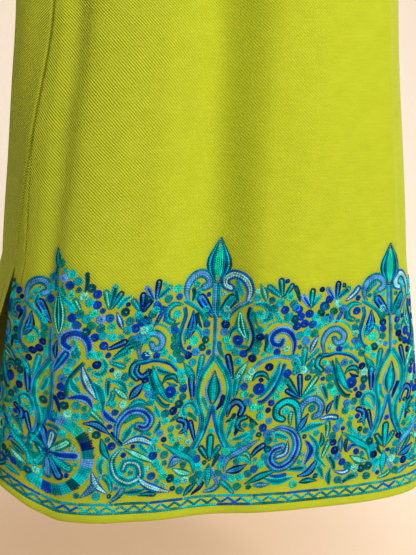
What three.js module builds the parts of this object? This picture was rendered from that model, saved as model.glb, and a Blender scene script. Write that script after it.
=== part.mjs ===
// A pheran: a long, loose tunic of wool twill, hanging open and hollow as it does on a standing
// wearer with both arms held out. Four cut pieces: front, back and two sleeves.
// Millimetres, +Z up, the front faces -Y. The origin lies midway between the high shoulder points,
// where the wearer's shoulders carry the garment.
import * as THREE from "three";

// Driving sizes
const LENGTH = 1150; // high shoulder point to hem
const WALL = 2; // wool twill, with the thread and turnings it carries
const SEAM_GAP = 0.3; // clearance between sewn pieces
const SLIT_LENGTH = 346; // side slits, hem to slit top
const CHEST_UP = 830; // hem to underarm
const SHOULDER_SLOPE = THREE.MathUtils.degToRad(20);

const NECK_HALF_WIDTH = 105;
const NECK_FRONT_DROP = 130;
const NECK_BACK_DROP = 30;
const NECK_FRONT_REACH = 84; // neckline centre, ahead of the shoulder seams
const NECK_BACK_REACH = 58; // neckline centre, behind the shoulder seams
const NECK_SHARE = 0.35; // share of a panel's columns that end on the neckline

const ARMHOLE_X = 285; // the armhole seams lie in the planes x = +-285
const ARMHOLE_HALF_DEPTH = 72;
const SLEEVE_LENGTH = 440;
const SLEEVE_FALL = THREE.MathUtils.degToRad(42); // arm's angle below level
const CUFF_HALF_HEIGHT = 54;
const CUFF_HALF_DEPTH = 50;

// Body sections above the hem. Each is a rounded box, its corners fuller as square grows.
// twist is how far the cloth has slipped round the body, the left side seam forwards.
const SECTIONS = [
  { up: 0, halfWidth: 281, halfDepth: 118, square: 3, twist: 12 },
  { up: 160, halfWidth: 277, halfDepth: 114, square: 3, twist: 22 },
  { up: 322, halfWidth: 271, halfDepth: 110, square: 2.9, twist: 38 },
  { up: 500, halfWidth: 261, halfDepth: 106, square: 2.7, twist: 64 },
  { up: 700, halfWidth: 249, halfDepth: 102, square: 2.6, twist: 90 },
  { up: 765, halfWidth: 260, halfDepth: 105, square: 2.4, twist: 58 },
  { up: 830, halfWidth: 285, halfDepth: 110, square: 2.2, twist: 0 },
];

// Soft vertical folds. across runs from -1 at the left seam to 1 at the right; a positive depth
// stands out from the body, a negative one sinks in. Between top and hem the depth changes evenly,
// or late where power is above 1.
const FOLDS = {
  front: [
    { hemAcross: -0.7, topAcross: -0.89, width: 50, hemDepth: -3, topDepth: -6, power: 1 },
    { hemAcross: -0.54, topAcross: -0.74, width: 130, hemDepth: 5, topDepth: 9, power: 1 },
    { hemAcross: -0.1, topAcross: -0.27, width: 150, hemDepth: -8, topDepth: -26, power: 1 },
    { hemAcross: 0.2, topAcross: 0.08, width: 170, hemDepth: 4, topDepth: 8, power: 1 },
  ],
  back: [
    { hemAcross: -0.78, topAcross: -0.78, width: 110, hemDepth: 50, topDepth: 8, power: 2 },
    { hemAcross: -0.4, topAcross: -0.36, width: 150, hemDepth: -12, topDepth: -9, power: 1 },
    { hemAcross: 0.02, topAcross: 0.04, width: 170, hemDepth: 14, topDepth: 9, power: 1 },
    { hemAcross: 0.46, topAcross: 0.4, width: 150, hemDepth: -11, topDepth: -10, power: 1 },
    { hemAcross: 0.8, topAcross: 0.76, width: 110, hemDepth: 9, topDepth: 8, power: 1 },
  ],
};
const FOLD_TOP_UP = 700; // the depths above are reached here, and fade out at the chest

// Below the slits the panels' sides swing free: outwards at the left and right, and backwards.
const FLARES = {
  front: { left: 26, right: 26, back: 4, from: 0.5 },
  back: { left: 88, right: 30, back: 34, from: 0.3 },
};

// The front's hem rides up a little towards the right, and by the left slit; below the slits only.
const HEM_LIFT = {
  right: { height: 11, from: -0.55, to: 0.35 },
  left: { height: 34, from: 0.64, to: 0.9 },
};

const BODY_ROWS = 16; // hem to chest, alike on front and back so that their seams match
const YOKE_ROWS = 8; // chest to shoulder
const PANEL_COLUMNS = { front: 60, back: 40 };
const SLEEVE_COLUMNS = 4 * YOKE_ROWS; // two for each row along the armhole, front and back
const SLEEVE_ROWS = 10;

const NORMAL_STEP = 0.002; // share of the surface over which a slope is measured
const RING_SAMPLES = 360;

// A smooth curve through one column of a table whose rows rise in "up"
function between(rows, key, up) {
  const last = rows.length - 1;
  let i = 0;
  while (i < last - 1 && up > rows[i + 1].up) i += 1;
  const span = rows[i + 1].up - rows[i].up;
  const t = THREE.MathUtils.clamp((up - rows[i].up) / span, 0, 1);
  const slope = (k) => {
    const a = Math.max(k - 1, 0);
    const b = Math.min(k + 1, last);
    return (rows[b][key] - rows[a][key]) / (rows[b].up - rows[a].up);
  };
  const start = rows[i][key];
  const end = rows[i + 1][key];
  const bend = t * t * (3 - 2 * t);
  const leave = t * (1 - t) * (1 - t) * span * slope(i);
  const arrive = t * t * (t - 1) * span * slope(i + 1);
  return start + (end - start) * bend + leave + arrive;
}

// One body section as a closed ring that can be walked by length from the middle of the front,
// towards the right
function makeRing(up) {
  const halfWidth = between(SECTIONS, "halfWidth", up);
  const halfDepth = between(SECTIONS, "halfDepth", up);
  const power = 2 / between(SECTIONS, "square", up);
  const at = (angle) => {
    const side = Math.sin(angle);
    const front = Math.cos(angle);
    return [
      halfWidth * Math.sign(side) * Math.abs(side) ** power,
      -halfDepth * Math.sign(front) * Math.abs(front) ** power,
    ];
  };
  const points = [];
  const walked = [0];
  for (let k = 0; k <= RING_SAMPLES; k += 1) {
    points.push(at((k / RING_SAMPLES) * 2 * Math.PI));
    if (k > 0) {
      const [ax, ay] = points[k - 1];
      const [bx, by] = points[k];
      walked.push(walked[k - 1] + Math.hypot(bx - ax, by - ay));
    }
  }
  const length = walked[RING_SAMPLES];
  const walk = (distance) => {
    const along = ((distance % length) + length) % length;
    let low = 0;
    let high = RING_SAMPLES;
    while (high - low > 1) {
      const middle = (low + high) >> 1;
      if (walked[middle] > along) high = middle;
      else low = middle;
    }
    const t = (along - walked[low]) / (walked[high] - walked[low]);
    return [
      points[low][0] + (points[high][0] - points[low][0]) * t,
      points[low][1] + (points[high][1] - points[low][1]) * t,
    ];
  };
  return { length, walk, twist: between(SECTIONS, "twist", up) };
}

const rings = new Map();
function ringAt(up) {
  const key = up.toFixed(3);
  if (!rings.has(key)) rings.set(key, makeRing(up));
  return rings.get(key);
}

// A panel's point on the section ring, across from -1 to 1
function onRing(panel, across, up) {
  const ring = ringAt(up);
  const fromMiddle = (across * ring.length) / 4;
  const distance = panel === "front" ? fromMiddle : ring.length / 2 - fromMiddle;
  return ring.walk(ring.twist + distance);
}

function foldDepth(panel, across, up) {
  const halfCut = ringAt(up).length / 4;
  const rise = up / FOLD_TOP_UP;
  const fade = 1 - THREE.MathUtils.smoothstep(up, FOLD_TOP_UP, CHEST_UP);
  let depth = 0;
  for (const fold of FOLDS[panel]) {
    const middle = fold.hemAcross + (fold.topAcross - fold.hemAcross) * rise;
    const away = ((across - middle) * halfCut) / (fold.width / 2);
    if (Math.abs(away) >= 1) continue;
    const below = Math.sign(1 - rise) * Math.abs(1 - rise) ** fold.power;
    const tall = fold.topDepth + (fold.hemDepth - fold.topDepth) * below;
    depth += tall * fade * Math.cos((away * Math.PI) / 2) ** 2;
  }
  return depth;
}

// The outside of a panel below the chest
function bodyPoint(panel, across, up) {
  const [x, y] = onRing(panel, across, up);
  const step = 0.01;
  const [ax, ay] = onRing(panel, across - step, up);
  const [bx, by] = onRing(panel, across + step, up);
  const facing = panel === "front" ? 1 : -1;
  const outward = new THREE.Vector2(by - ay, ax - bx).normalize().multiplyScalar(facing);
  const depth = foldDepth(panel, across, up);
  const flare = FLARES[panel];
  const free = Math.max(0, 1 - up / SLIT_LENGTH);
  const swing = free * THREE.MathUtils.smoothstep(Math.abs(across), flare.from, 1);
  const { right, left } = HEM_LIFT;
  const rides =
    right.height * THREE.MathUtils.smoothstep(across, right.from, right.to) +
    left.height * THREE.MathUtils.smoothstep(-across, left.from, left.to);
  return new THREE.Vector3(
    x + outward.x * depth + (across < 0 ? -flare.left : flare.right) * swing,
    y + outward.y * depth + flare.back * swing,
    up - LENGTH + (panel === "front" ? rides * free : 0),
  );
}

// Where a panel ends above: the shoulder seams, and the neckline between them
function topPoint(panel, across) {
  const side = Math.sign(across);
  const reach = Math.abs(across);
  if (reach >= NECK_SHARE) {
    const t = (reach - NECK_SHARE) / (1 - NECK_SHARE);
    const x = NECK_HALF_WIDTH + (ARMHOLE_X - NECK_HALF_WIDTH) * t;
    return new THREE.Vector3(side * x, 0, -(x - NECK_HALF_WIDTH) * Math.tan(SHOULDER_SLOPE));
  }
  const angle = (reach / NECK_SHARE) * (Math.PI / 2);
  const front = panel === "front";
  const forward = front ? -NECK_FRONT_REACH : NECK_BACK_REACH;
  const drop = front ? NECK_FRONT_DROP : NECK_BACK_DROP;
  return new THREE.Vector3(
    side * NECK_HALF_WIDTH * Math.sin(angle),
    forward * Math.cos(angle),
    -drop * Math.cos(angle),
  );
}

// The outside of a panel above the chest: each column is one curve from the chest to the top line.
// At the armhole the curve bows out to the armhole's half depth.
function yokePoint(panel, across, share) {
  const forward = panel === "front" ? -1 : 1;
  const start = bodyPoint(panel, across, CHEST_UP);
  const end = topPoint(panel, across);
  const height = end.z - start.z;
  const reach = Math.abs(across);
  const edge = THREE.MathUtils.smoothstep(reach, 0.55, 1);
  const shoulder = THREE.MathUtils.smoothstep(reach, NECK_SHARE * 0.55, NECK_SHARE * 1.5);
  const bow = ARMHOLE_HALF_DEPTH / 0.75;
  const startForward = THREE.MathUtils.lerp(6, bow, edge);
  const startRise = height * THREE.MathUtils.lerp(0.36, 0.3, edge);
  const endForward = THREE.MathUtils.lerp(THREE.MathUtils.lerp(16, 76, shoulder), bow, edge);
  const endFall = height * THREE.MathUtils.lerp(THREE.MathUtils.lerp(0.3, 0.1, shoulder), 0.16, edge);
  const leave = new THREE.Vector3(start.x, start.y + forward * startForward, start.z + startRise);
  const arrive = new THREE.Vector3(end.x, end.y + forward * endForward, end.z - endFall);
  return new THREE.CubicBezierCurve3(start, leave, arrive, end).getPoint(share);
}

// A panel's outside over its whole height: rise is 0 at the hem, 1 at the chest, 2 at the top
function panelPoint(panel, across, rise) {
  if (rise <= 1) return bodyPoint(panel, across, rise * CHEST_UP);
  return yokePoint(panel, across, rise - 1);
}

// The armhole seam as a closed loop in its plane, from the shoulder forwards, down and back up
function armholePoint(side, turn) {
  const front = turn <= 0.5;
  const share = front ? 1 - turn * 2 : turn * 2 - 1;
  return yokePoint(front ? "front" : "back", side, share);
}

// The cuff as an oval square to the arm, walked as the armhole is
function cuffPoint(side, turn) {
  const angle = turn * 2 * Math.PI;
  const shoulderEnd = armholePoint(side, 0);
  const underarm = armholePoint(side, 0.5);
  const out = Math.cos(SLEEVE_FALL) * SLEEVE_LENGTH;
  const down = Math.sin(SLEEVE_FALL) * SLEEVE_LENGTH;
  const high = CUFF_HALF_HEIGHT * Math.cos(angle);
  return new THREE.Vector3(
    side * (ARMHOLE_X + out + high * Math.sin(SLEEVE_FALL)),
    -CUFF_HALF_DEPTH * Math.sin(angle),
    (shoulderEnd.z + underarm.z) / 2 - down + high * Math.cos(SLEEVE_FALL),
  );
}

function sleevePoint(side, turn, along) {
  const start = armholePoint(side, turn);
  start.x += side * SEAM_GAP;
  const end = cuffPoint(side, turn);
  const slack = Math.sin(along * Math.PI) * 6; // the sleeve hangs a little below the straight line
  const point = start.lerp(end, along);
  point.z -= slack * (0.5 - 0.5 * Math.cos(turn * 2 * Math.PI));
  return point;
}

// The outward direction of a surface at one place, from its slopes both ways
function normalOf(surface, u, v, low, high, closed) {
  const u0 = closed ? u - NORMAL_STEP : Math.max(low[0], u - NORMAL_STEP);
  const u1 = closed ? u + NORMAL_STEP : Math.min(high[0], u + NORMAL_STEP);
  const v0 = Math.max(low[1], v - NORMAL_STEP);
  const v1 = Math.min(high[1], v + NORMAL_STEP);
  const acrossSlope = surface(u1, v).sub(surface(u0, v));
  const upSlope = surface(u, v1).sub(surface(u, v0));
  return acrossSlope.cross(upSlope).normalize();
}

// A closed cloth wall between an outer grid and an inner one. Rows run along the piece. An open
// grid gets a strip along each side; a tube's columns close on themselves.
function wallGeometry(outer, inner, closed) {
  const rows = outer.length;
  const columns = outer[0].length;
  const positions = [];
  for (const grid of [outer, inner]) {
    for (const row of grid) {
      for (const point of row) positions.push(point.x, point.y, point.z);
    }
  }
  const index = [];
  const id = (layer, row, column) => (layer * rows + row) * columns + (column % columns);
  const quad = (a, b, c, d) => index.push(a, b, c, a, c, d);
  const wide = closed ? columns : columns - 1;
  for (let row = 0; row < rows - 1; row += 1) {
    for (let column = 0; column < wide; column += 1) {
      const corners = [
        [row, column],
        [row, column + 1],
        [row + 1, column + 1],
        [row + 1, column],
      ];
      quad(...corners.map(([r, c]) => id(0, r, c)));
      quad(...corners.reverse().map(([r, c]) => id(1, r, c)));
    }
  }
  for (let column = 0; column < wide; column += 1) {
    const top = rows - 1;
    quad(id(0, 0, column + 1), id(0, 0, column), id(1, 0, column), id(1, 0, column + 1));
    quad(id(0, top, column), id(0, top, column + 1), id(1, top, column + 1), id(1, top, column));
  }
  if (!closed) {
    const end = columns - 1;
    for (let row = 0; row < rows - 1; row += 1) {
      quad(id(0, row, 0), id(0, row + 1, 0), id(1, row + 1, 0), id(1, row, 0));
      quad(id(0, row + 1, end), id(0, row, end), id(1, row, end), id(1, row + 1, end));
    }
  }
  const geometry = new THREE.BufferGeometry();
  geometry.setAttribute("position", new THREE.Float32BufferAttribute(positions, 3));
  geometry.setIndex(index);
  geometry.computeVertexNormals();
  return geometry;
}

// A body panel. Its edges are drawn in by half a seam gap from the lines it shares with the others.
function makePanel(panel) {
  const columns = PANEL_COLUMNS[panel];
  const inset = SEAM_GAP / 2;
  const surface = (across, rise) => panelPoint(panel, across, rise);
  const facing = panel === "front" ? 1 : -1;
  const rises = [];
  for (let k = 0; k <= BODY_ROWS; k += 1) rises.push(k / BODY_ROWS);
  for (let k = 1; k <= YOKE_ROWS; k += 1) rises.push(1 + k / YOKE_ROWS);
  const outer = [];
  const inner = [];
  for (const rise of rises) {
    const outerRow = [];
    const innerRow = [];
    const edge = rise < 1 ? 1 - inset / (ringAt(rise * CHEST_UP).length / 4) : 1;
    for (let k = 0; k <= columns; k += 1) {
      const across = THREE.MathUtils.clamp((k / columns) * 2 - 1, -edge, edge);
      const point = surface(across, rise);
      const out = normalOf(surface, across, rise, [-1, 0], [1, 2], false).multiplyScalar(facing);
      if (rise === 2 || (rise === 1 && edge === Math.abs(across))) point.y -= facing * inset;
      if (rise === 2 && Math.abs(across) >= NECK_SHARE) out.setY(0).normalize();
      outerRow.push(point);
      innerRow.push(point.clone().addScaledVector(out, -WALL));
    }
    outer.push(outerRow);
    inner.push(innerRow);
  }
  if (panel === "front") return wallGeometry(outer, inner, false);
  const mirrored = (grid) => grid.map((row) => row.slice().reverse());
  return wallGeometry(mirrored(outer), mirrored(inner), false);
}

// A sleeve: a straight tapered tube from the armhole to the cuff, open at both ends
function makeSleeve(side) {
  const surface = (turn, along) => sleevePoint(side, ((turn % 1) + 1) % 1, along);
  const outer = [];
  const inner = [];
  for (let row = 0; row <= SLEEVE_ROWS; row += 1) {
    const along = row / SLEEVE_ROWS;
    const outerRow = [];
    const innerRow = [];
    for (let k = 0; k < SLEEVE_COLUMNS; k += 1) {
      const turn = k / SLEEVE_COLUMNS;
      const point = surface(turn, along);
      const out = normalOf(surface, turn, along, [0, 0], [1, 1], true).multiplyScalar(side);
      if (row === 0) out.setX(0).normalize(); // the end stays in the armhole's plane
      outerRow.push(point);
      innerRow.push(point.clone().addScaledVector(out, -WALL));
    }
    outer.push(outerRow);
    inner.push(innerRow);
  }
  if (side > 0) return wallGeometry(outer, inner, true);
  const mirrored = (grid) => grid.map((row) => row.slice().reverse());
  return wallGeometry(mirrored(outer), mirrored(inner), true);
}

function woolTwill() {
  return new THREE.MeshStandardMaterial({ color: 0xb4be2c, roughness: 0.85, metalness: 0 });
}

const pieces = [
  ["front", makePanel("front")],
  ["back", makePanel("back")],
  ["sleeve_left", makeSleeve(-1)],
  ["sleeve_right", makeSleeve(1)],
];

const pheran = new THREE.Group();
for (const [name, geometry] of pieces) {
  const mesh = new THREE.Mesh(geometry, woolTwill());
  mesh.name = name;
  pheran.add(mesh);
}

export default pheran;
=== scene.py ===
import math

import bpy
import numpy as np
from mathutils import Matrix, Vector


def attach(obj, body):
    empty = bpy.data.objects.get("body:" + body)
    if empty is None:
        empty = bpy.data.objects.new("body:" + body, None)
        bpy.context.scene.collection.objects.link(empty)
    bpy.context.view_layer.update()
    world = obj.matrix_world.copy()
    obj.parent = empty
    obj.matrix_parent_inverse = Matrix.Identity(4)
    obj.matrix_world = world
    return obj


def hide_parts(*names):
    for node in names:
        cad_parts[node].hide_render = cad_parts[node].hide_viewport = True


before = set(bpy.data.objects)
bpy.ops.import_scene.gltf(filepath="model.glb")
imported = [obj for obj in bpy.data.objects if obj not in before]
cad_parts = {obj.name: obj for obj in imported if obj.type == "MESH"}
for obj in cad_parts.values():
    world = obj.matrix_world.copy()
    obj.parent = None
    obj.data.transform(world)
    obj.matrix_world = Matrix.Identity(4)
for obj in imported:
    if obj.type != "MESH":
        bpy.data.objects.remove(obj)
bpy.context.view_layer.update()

# ---------------------------------------------------------------------------------------------
# The camera stands low and a little to the left of the garment's front, and looks slightly down
# at its lower half. Sizes here are in metres.
# ---------------------------------------------------------------------------------------------
CAMERA_PLACE = Vector((-0.169, -1.563, -0.536))
CAMERA_AZIMUTH = math.radians(-6.0)
CAMERA_PITCH = math.radians(11.0)
CAMERA_LENS = 74.8

camera_data = bpy.data.cameras.new("camera")
camera_data.lens = CAMERA_LENS
camera_data.sensor_width = 36.0
camera = bpy.data.objects.new("camera", camera_data)
camera.location = CAMERA_PLACE
camera.rotation_euler = (math.radians(90) - CAMERA_PITCH, 0, CAMERA_AZIMUTH)
bpy.context.scene.collection.objects.link(camera)
bpy.context.scene.camera = camera

# ---------------------------------------------------------------------------------------------
# The cut of the garment, in millimetres: a loose body that hangs from the shoulders. Sections
# above the hem are rounded boxes; the cloth has slipped round them, its left side seam forwards.
# Front and back are one flat piece each, shoulder to hem, with open slits at both sides.
# ---------------------------------------------------------------------------------------------
MM = 0.001
LENGTH = 1150                # high shoulder point to hem
SLIT_LENGTH = 346            # side slits, hem to slit top
CHEST_UP = 830               # hem to underarm
SHOULDER_SLOPE = math.radians(20)
NECK_HALF_WIDTH = 105
NECK_DROP = {"front": 130, "back": 30}
NECK_REACH = {"front": -84, "back": 58}
NECK_SHARE = 0.35            # share of a panel's width that ends on the neckline
ARMHOLE_X = 285
ARMHOLE_HALF_DEPTH = 72
SEAM_HALF_GAP = 0.15

SECTIONS = {
    "up":        [0, 160, 322, 500, 700, 765, 830],
    "halfWidth": [281, 277, 271, 261, 249, 260, 285],
    "halfDepth": [118, 114, 110, 106, 102, 105, 110],
    "square":    [3.0, 3.0, 2.9, 2.7, 2.6, 2.4, 2.2],
    "twist":     [12, 22, 38, 64, 90, 58, 0],
}

# Soft vertical folds: place across the panel at hem and top, width, depth at hem and top, and how
# late the depth changes on its way down.
FOLDS = {
    "front": [
        (-0.70, -0.89, 50, -3, -6, 1),
        (-0.54, -0.74, 130, 5, 9, 1),
        (-0.10, -0.27, 150, -8, -26, 1),
        (0.20, 0.08, 170, 4, 8, 1),
    ],
    "back": [
        (-0.78, -0.78, 110, 50, 8, 2),
        (-0.40, -0.36, 150, -12, -9, 1),
        (0.02, 0.04, 170, 14, 9, 1),
        (0.46, 0.40, 150, -11, -10, 1),
        (0.80, 0.76, 110, 9, 8, 1),
    ],
}
FOLD_TOP_UP = 700
FLARES = {"front": (26, 26, 4, 0.5), "back": (88, 30, 34, 0.3)}     # left, right, back, from
HEM_LIFT = {"right": (11, -0.55, 0.35), "left": (34, 0.64, 0.90)}   # height, from, to


def smoothstep(x, low, high):
    t = np.clip((np.asarray(x, float) - low) / (high - low), 0, 1)
    return t * t * (3 - 2 * t)


def between(key, up):
    """A smooth curve through one column of the sections."""
    ups, values = SECTIONS["up"], SECTIONS[key]
    last = len(ups) - 1
    i = 0
    while i < last - 1 and up > ups[i + 1]:
        i += 1
    span = ups[i + 1] - ups[i]
    t = min(max((up - ups[i]) / span, 0), 1)

    def slope(k):
        a, b = max(k - 1, 0), min(k + 1, last)
        return (values[b] - values[a]) / (ups[b] - ups[a])

    bend = t * t * (3 - 2 * t)
    leave = t * (1 - t) * (1 - t) * span * slope(i)
    arrive = t * t * (t - 1) * span * slope(i + 1)
    return values[i] + (values[i + 1] - values[i]) * bend + leave + arrive


def ring(up):
    """One section as points and the length walked to each, from the middle of the front."""
    power = 2 / between("square", up)
    angle = np.linspace(0, 2 * math.pi, 721)
    side, front = np.sin(angle), np.cos(angle)
    x = between("halfWidth", up) * np.sign(side) * np.abs(side) ** power
    y = -between("halfDepth", up) * np.sign(front) * np.abs(front) ** power
    walked = np.concatenate([[0], np.cumsum(np.hypot(np.diff(x), np.diff(y)))])
    return x, y, walked


def on_ring(section, panel, across, twist):
    x, y, walked = section
    middle = across * walked[-1] / 4
    distance = middle if panel == "front" else walked[-1] / 2 - middle
    along = np.mod(twist + distance, walked[-1])
    return np.stack([np.interp(along, walked, x), np.interp(along, walked, y)], -1)


def fold_depth(panel, across, up, half_cut):
    rise = up / FOLD_TOP_UP
    fade = 1 - smoothstep(up, FOLD_TOP_UP, CHEST_UP)
    depth = np.zeros_like(across)
    below = 1 - rise
    for hem_across, top_across, width, hem_depth, top_depth, power in FOLDS[panel]:
        middle = hem_across + (top_across - hem_across) * rise
        away = np.clip((across - middle) * half_cut / (width / 2), -1, 1)
        tall = top_depth + (hem_depth - top_depth) * math.copysign(abs(below) ** power, below)
        depth += tall * fade * np.cos(away * math.pi / 2) ** 2
    return depth


# Smaller creases that the cloth takes up as it hangs: place across at hem and top, the heights
# above the hem between which they show, width and depth.
CREASES = {
    "front": [
        (-0.695, -0.885, 230, 720, 24, -1.4),
        (-0.60, -0.85, 180, 720, 90, 6.0),
        (0.09, -0.32, 220, 740, 96, -19.0),
        (0.20, -0.20, 220, 740, 70, 5.0),
        (0.805, 0.455, 300, 800, 12, 3.0),
        (0.865, 0.515, 300, 800, 26, -2.4),
        (-0.34, -0.42, 380, 800, 60, -2.0),
        (0.10, 0.02, 360, 780, 90, -1.6),
        (-0.50, -0.62, 420, 820, 40, 1.4),
    ],
    "back": [
        (0.60, 0.62, 300, 760, 40, 2.4),
        (-0.58, -0.56, 260, 740, 60, 2.6),
        (-0.18, -0.16, 200, 780, 50, -2.2),
        (0.24, 0.20, 120, 700, 60, -2.4),
    ],
}
CREASE_STARTS = 90           # over this height to either side of its lower end
CREASE_ENDS = 60             # and of its upper end
UNEVEN = 0.9                 # how far the cloth is out of true everywhere


def crease_depth(panel, across, up, half_cut):
    depth = np.zeros_like(across)
    for hem_across, top_across, low, high, width, tall in CREASES[panel]:
        middle = hem_across + (top_across - hem_across) * up / FOLD_TOP_UP
        away = (across - middle) * half_cut / (width / 2)
        starts = smoothstep(up, low - CREASE_STARTS, low + CREASE_STARTS)
        ends = smoothstep(up, high - CREASE_ENDS, high + CREASE_ENDS)
        depth += tall * starts * (1 - ends) * np.exp(-away * away)
    slow = np.sin(across * 5.3 + up * 0.011 + 1.3) * np.sin(up * 0.017 - across * 2.1)
    return depth + UNEVEN * slow * smoothstep(1 - np.abs(across), 0.0, 0.15)


def body_row(panel, across, up):
    """A panel's outside at one height below the chest."""
    section = ring(up)
    twist = between("twist", up)
    half_cut = section[2][-1] / 4
    at = on_ring(section, panel, across, twist)
    ahead = on_ring(section, panel, across + 0.01, twist)
    behind = on_ring(section, panel, across - 0.01, twist)
    facing = 1 if panel == "front" else -1
    outward = np.stack([ahead[:, 1] - behind[:, 1], behind[:, 0] - ahead[:, 0]], -1) * facing
    outward /= np.linalg.norm(outward, axis=1, keepdims=True)
    depth = fold_depth(panel, across, up, half_cut) + crease_depth(panel, across, up, half_cut)
    left, right, back, start = FLARES[panel]
    free = max(0.0, 1 - up / SLIT_LENGTH)
    swing = free * smoothstep(np.abs(across), start, 1)
    rides = 0.0
    for side, (height, start, end) in HEM_LIFT.items():
        rides = rides + height * smoothstep(across if side == "right" else -across, start, end)
    x = at[:, 0] + outward[:, 0] * depth + np.where(across < 0, -left, right) * swing
    y = at[:, 1] + outward[:, 1] * depth + back * swing
    z = up - LENGTH + rides * free * (panel == "front")
    return np.stack([x, y, np.broadcast_to(z, x.shape)], -1)


def top_line(panel, across):
    """Where a panel ends above: the shoulder seams and the neckline between them."""
    side, reach = np.sign(across), np.abs(across)
    t = np.clip((reach - NECK_SHARE) / (1 - NECK_SHARE), 0, 1)
    shoulder_x = NECK_HALF_WIDTH + (ARMHOLE_X - NECK_HALF_WIDTH) * t
    angle = np.clip(reach / NECK_SHARE, 0, 1) * math.pi / 2
    neck = reach < NECK_SHARE
    x = np.where(neck, NECK_HALF_WIDTH * np.sin(angle), shoulder_x) * side
    y = np.where(neck, NECK_REACH[panel] * np.cos(angle), 0)
    fall = -(shoulder_x - NECK_HALF_WIDTH) * math.tan(SHOULDER_SLOPE)
    z = np.where(neck, -NECK_DROP[panel] * np.cos(angle), fall)
    return np.stack([x, y, z], -1)


def part_way(low, high, share):
    return low + (high - low) * share


# A column of the cloth above the chest leaves it straight up and bows to the top line, each end's
# handle as far forwards and as far up or down as stated. At the armhole its curve is the armhole's.
YOKE_EDGE_FROM = 0.55        # across the panel, where the armhole's curve begins to tell
YOKE_SHOULDER = (NECK_SHARE * 0.55, NECK_SHARE * 1.5)    # and where the shoulder's does
ARMHOLE_HANDLE = ARMHOLE_HALF_DEPTH / 0.75
LEAVES_FORWARD = 6
LEAVES_UP = {"middle": 0.36, "edge": 0.30}
ARRIVES_FORWARD = {"neck": 16, "shoulder": 76}
ARRIVES_DOWN = {"neck": 0.3, "shoulder": 0.1, "edge": 0.16}


def yoke_row(panel, across, share):
    """A panel's outside above the chest: each column is one curve up to the top line."""
    forward = -1 if panel == "front" else 1
    start, end = body_row(panel, across, CHEST_UP), top_line(panel, across)
    height = end[:, 2] - start[:, 2]
    edge = smoothstep(np.abs(across), YOKE_EDGE_FROM, 1)
    shoulder = smoothstep(np.abs(across), *YOKE_SHOULDER)
    end_forward = part_way(ARRIVES_FORWARD["neck"], ARRIVES_FORWARD["shoulder"], shoulder)
    end_down = part_way(ARRIVES_DOWN["neck"], ARRIVES_DOWN["shoulder"], shoulder)
    leave, arrive = start.copy(), end.copy()
    leave[:, 1] += forward * part_way(LEAVES_FORWARD, ARMHOLE_HANDLE, edge)
    leave[:, 2] += height * part_way(LEAVES_UP["middle"], LEAVES_UP["edge"], edge)
    arrive[:, 1] += forward * part_way(end_forward, ARMHOLE_HANDLE, edge)
    arrive[:, 2] -= height * part_way(end_down, ARRIVES_DOWN["edge"], edge)
    t, s = share, 1 - share
    return s ** 3 * start + 3 * s * s * t * leave + 3 * s * t * t * arrive + t ** 3 * end


CLOTH_STEP = 5.0             # size of the cloth's faces, away from its edges
EDGE_STRIP = 27              # the finer columns by each edge reach this far in
HEM_STRIP = 26               # and the finer rows this far up
YOKE_STEPS = 44
SEAM_STEPS = [0, 1.2, 2.6, 4.5, 7, 10.5, 14.5, 17.5, 19, 20.5, 23]   # finer columns by each edge
HEM_STEPS = [0, 1.2, 2.6, 4.5, 7, 9.3, 10.8, 12, 13.2, 15, 18, 22]   # finer rows by the hem


def panel_surface(panel):
    """Places across, heights, and the outside of a panel as a grid, in millimetres."""
    half_cut = ring(0)[2][-1] / 4
    inner = np.arange(EDGE_STRIP + 1, 2 * half_cut - EDGE_STRIP, CLOTH_STEP)
    from_left = np.concatenate([SEAM_STEPS, inner, 2 * half_cut - np.array(SEAM_STEPS[::-1])])
    across = from_left / half_cut - 1
    heights = np.concatenate([HEM_STEPS, np.arange(HEM_STRIP, CHEST_UP, CLOTH_STEP), [CHEST_UP]])
    edge = 1 - SEAM_HALF_GAP / half_cut
    rows = [body_row(panel, np.clip(across, -edge, edge), up) for up in heights]
    rows += [yoke_row(panel, across, k / YOKE_STEPS) for k in range(1, YOKE_STEPS + 1)]
    return across, heights, np.array(rows)


def normals_of(grid):
    """Outward directions of a grid whose columns run left to right and rows upwards."""
    across = np.gradient(grid, axis=1)
    up = np.gradient(grid, axis=0)
    normal = np.cross(across, up)
    return normal / np.maximum(np.linalg.norm(normal, axis=2, keepdims=True), 1e-9)


# Sewing shapes the cloth's face: a sunk line at each seam, a turned edge along slits and hem that
# is a little thicker, and a sunk line where its stitches pull it in.
SLIT_TURNING = 26            # edge of a slit to its row of stitches
HEM_TURNING = 12
TURNING_RUNS_OUT_UP = 520    # the slit's turning runs into the side seam here
TURNED_EDGE = 0.7            # how much thicker the slit's turned edge is
HEM_PUFF = 1.3               # and the hem between its edge and its stitches

# Sunk and rounded lines: depth and half width
SEAM_LINE = (-3.2, 2.0)
SLIT_EDGE = (-1.0, 1.6)
SLIT_STITCHES = (-0.75, 1.4)
HEM_EDGE = (-0.9, 1.8)
HEM_STITCHES = (-0.7, 1.6)


def stitch_line_in(up):
    """How far the slit's row of stitches lies in from the panel's edge."""
    above = (np.asarray(up, float) - SLIT_LENGTH) / (TURNING_RUNS_OUT_UP - SLIT_LENGTH)
    return SLIT_TURNING * (1 - np.clip(above, 0, 1))


def line_at(distance, depth, half_width):
    """How deep a soft line is at a distance from its middle."""
    return depth * np.exp(-(distance / half_width) ** 2)


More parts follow.
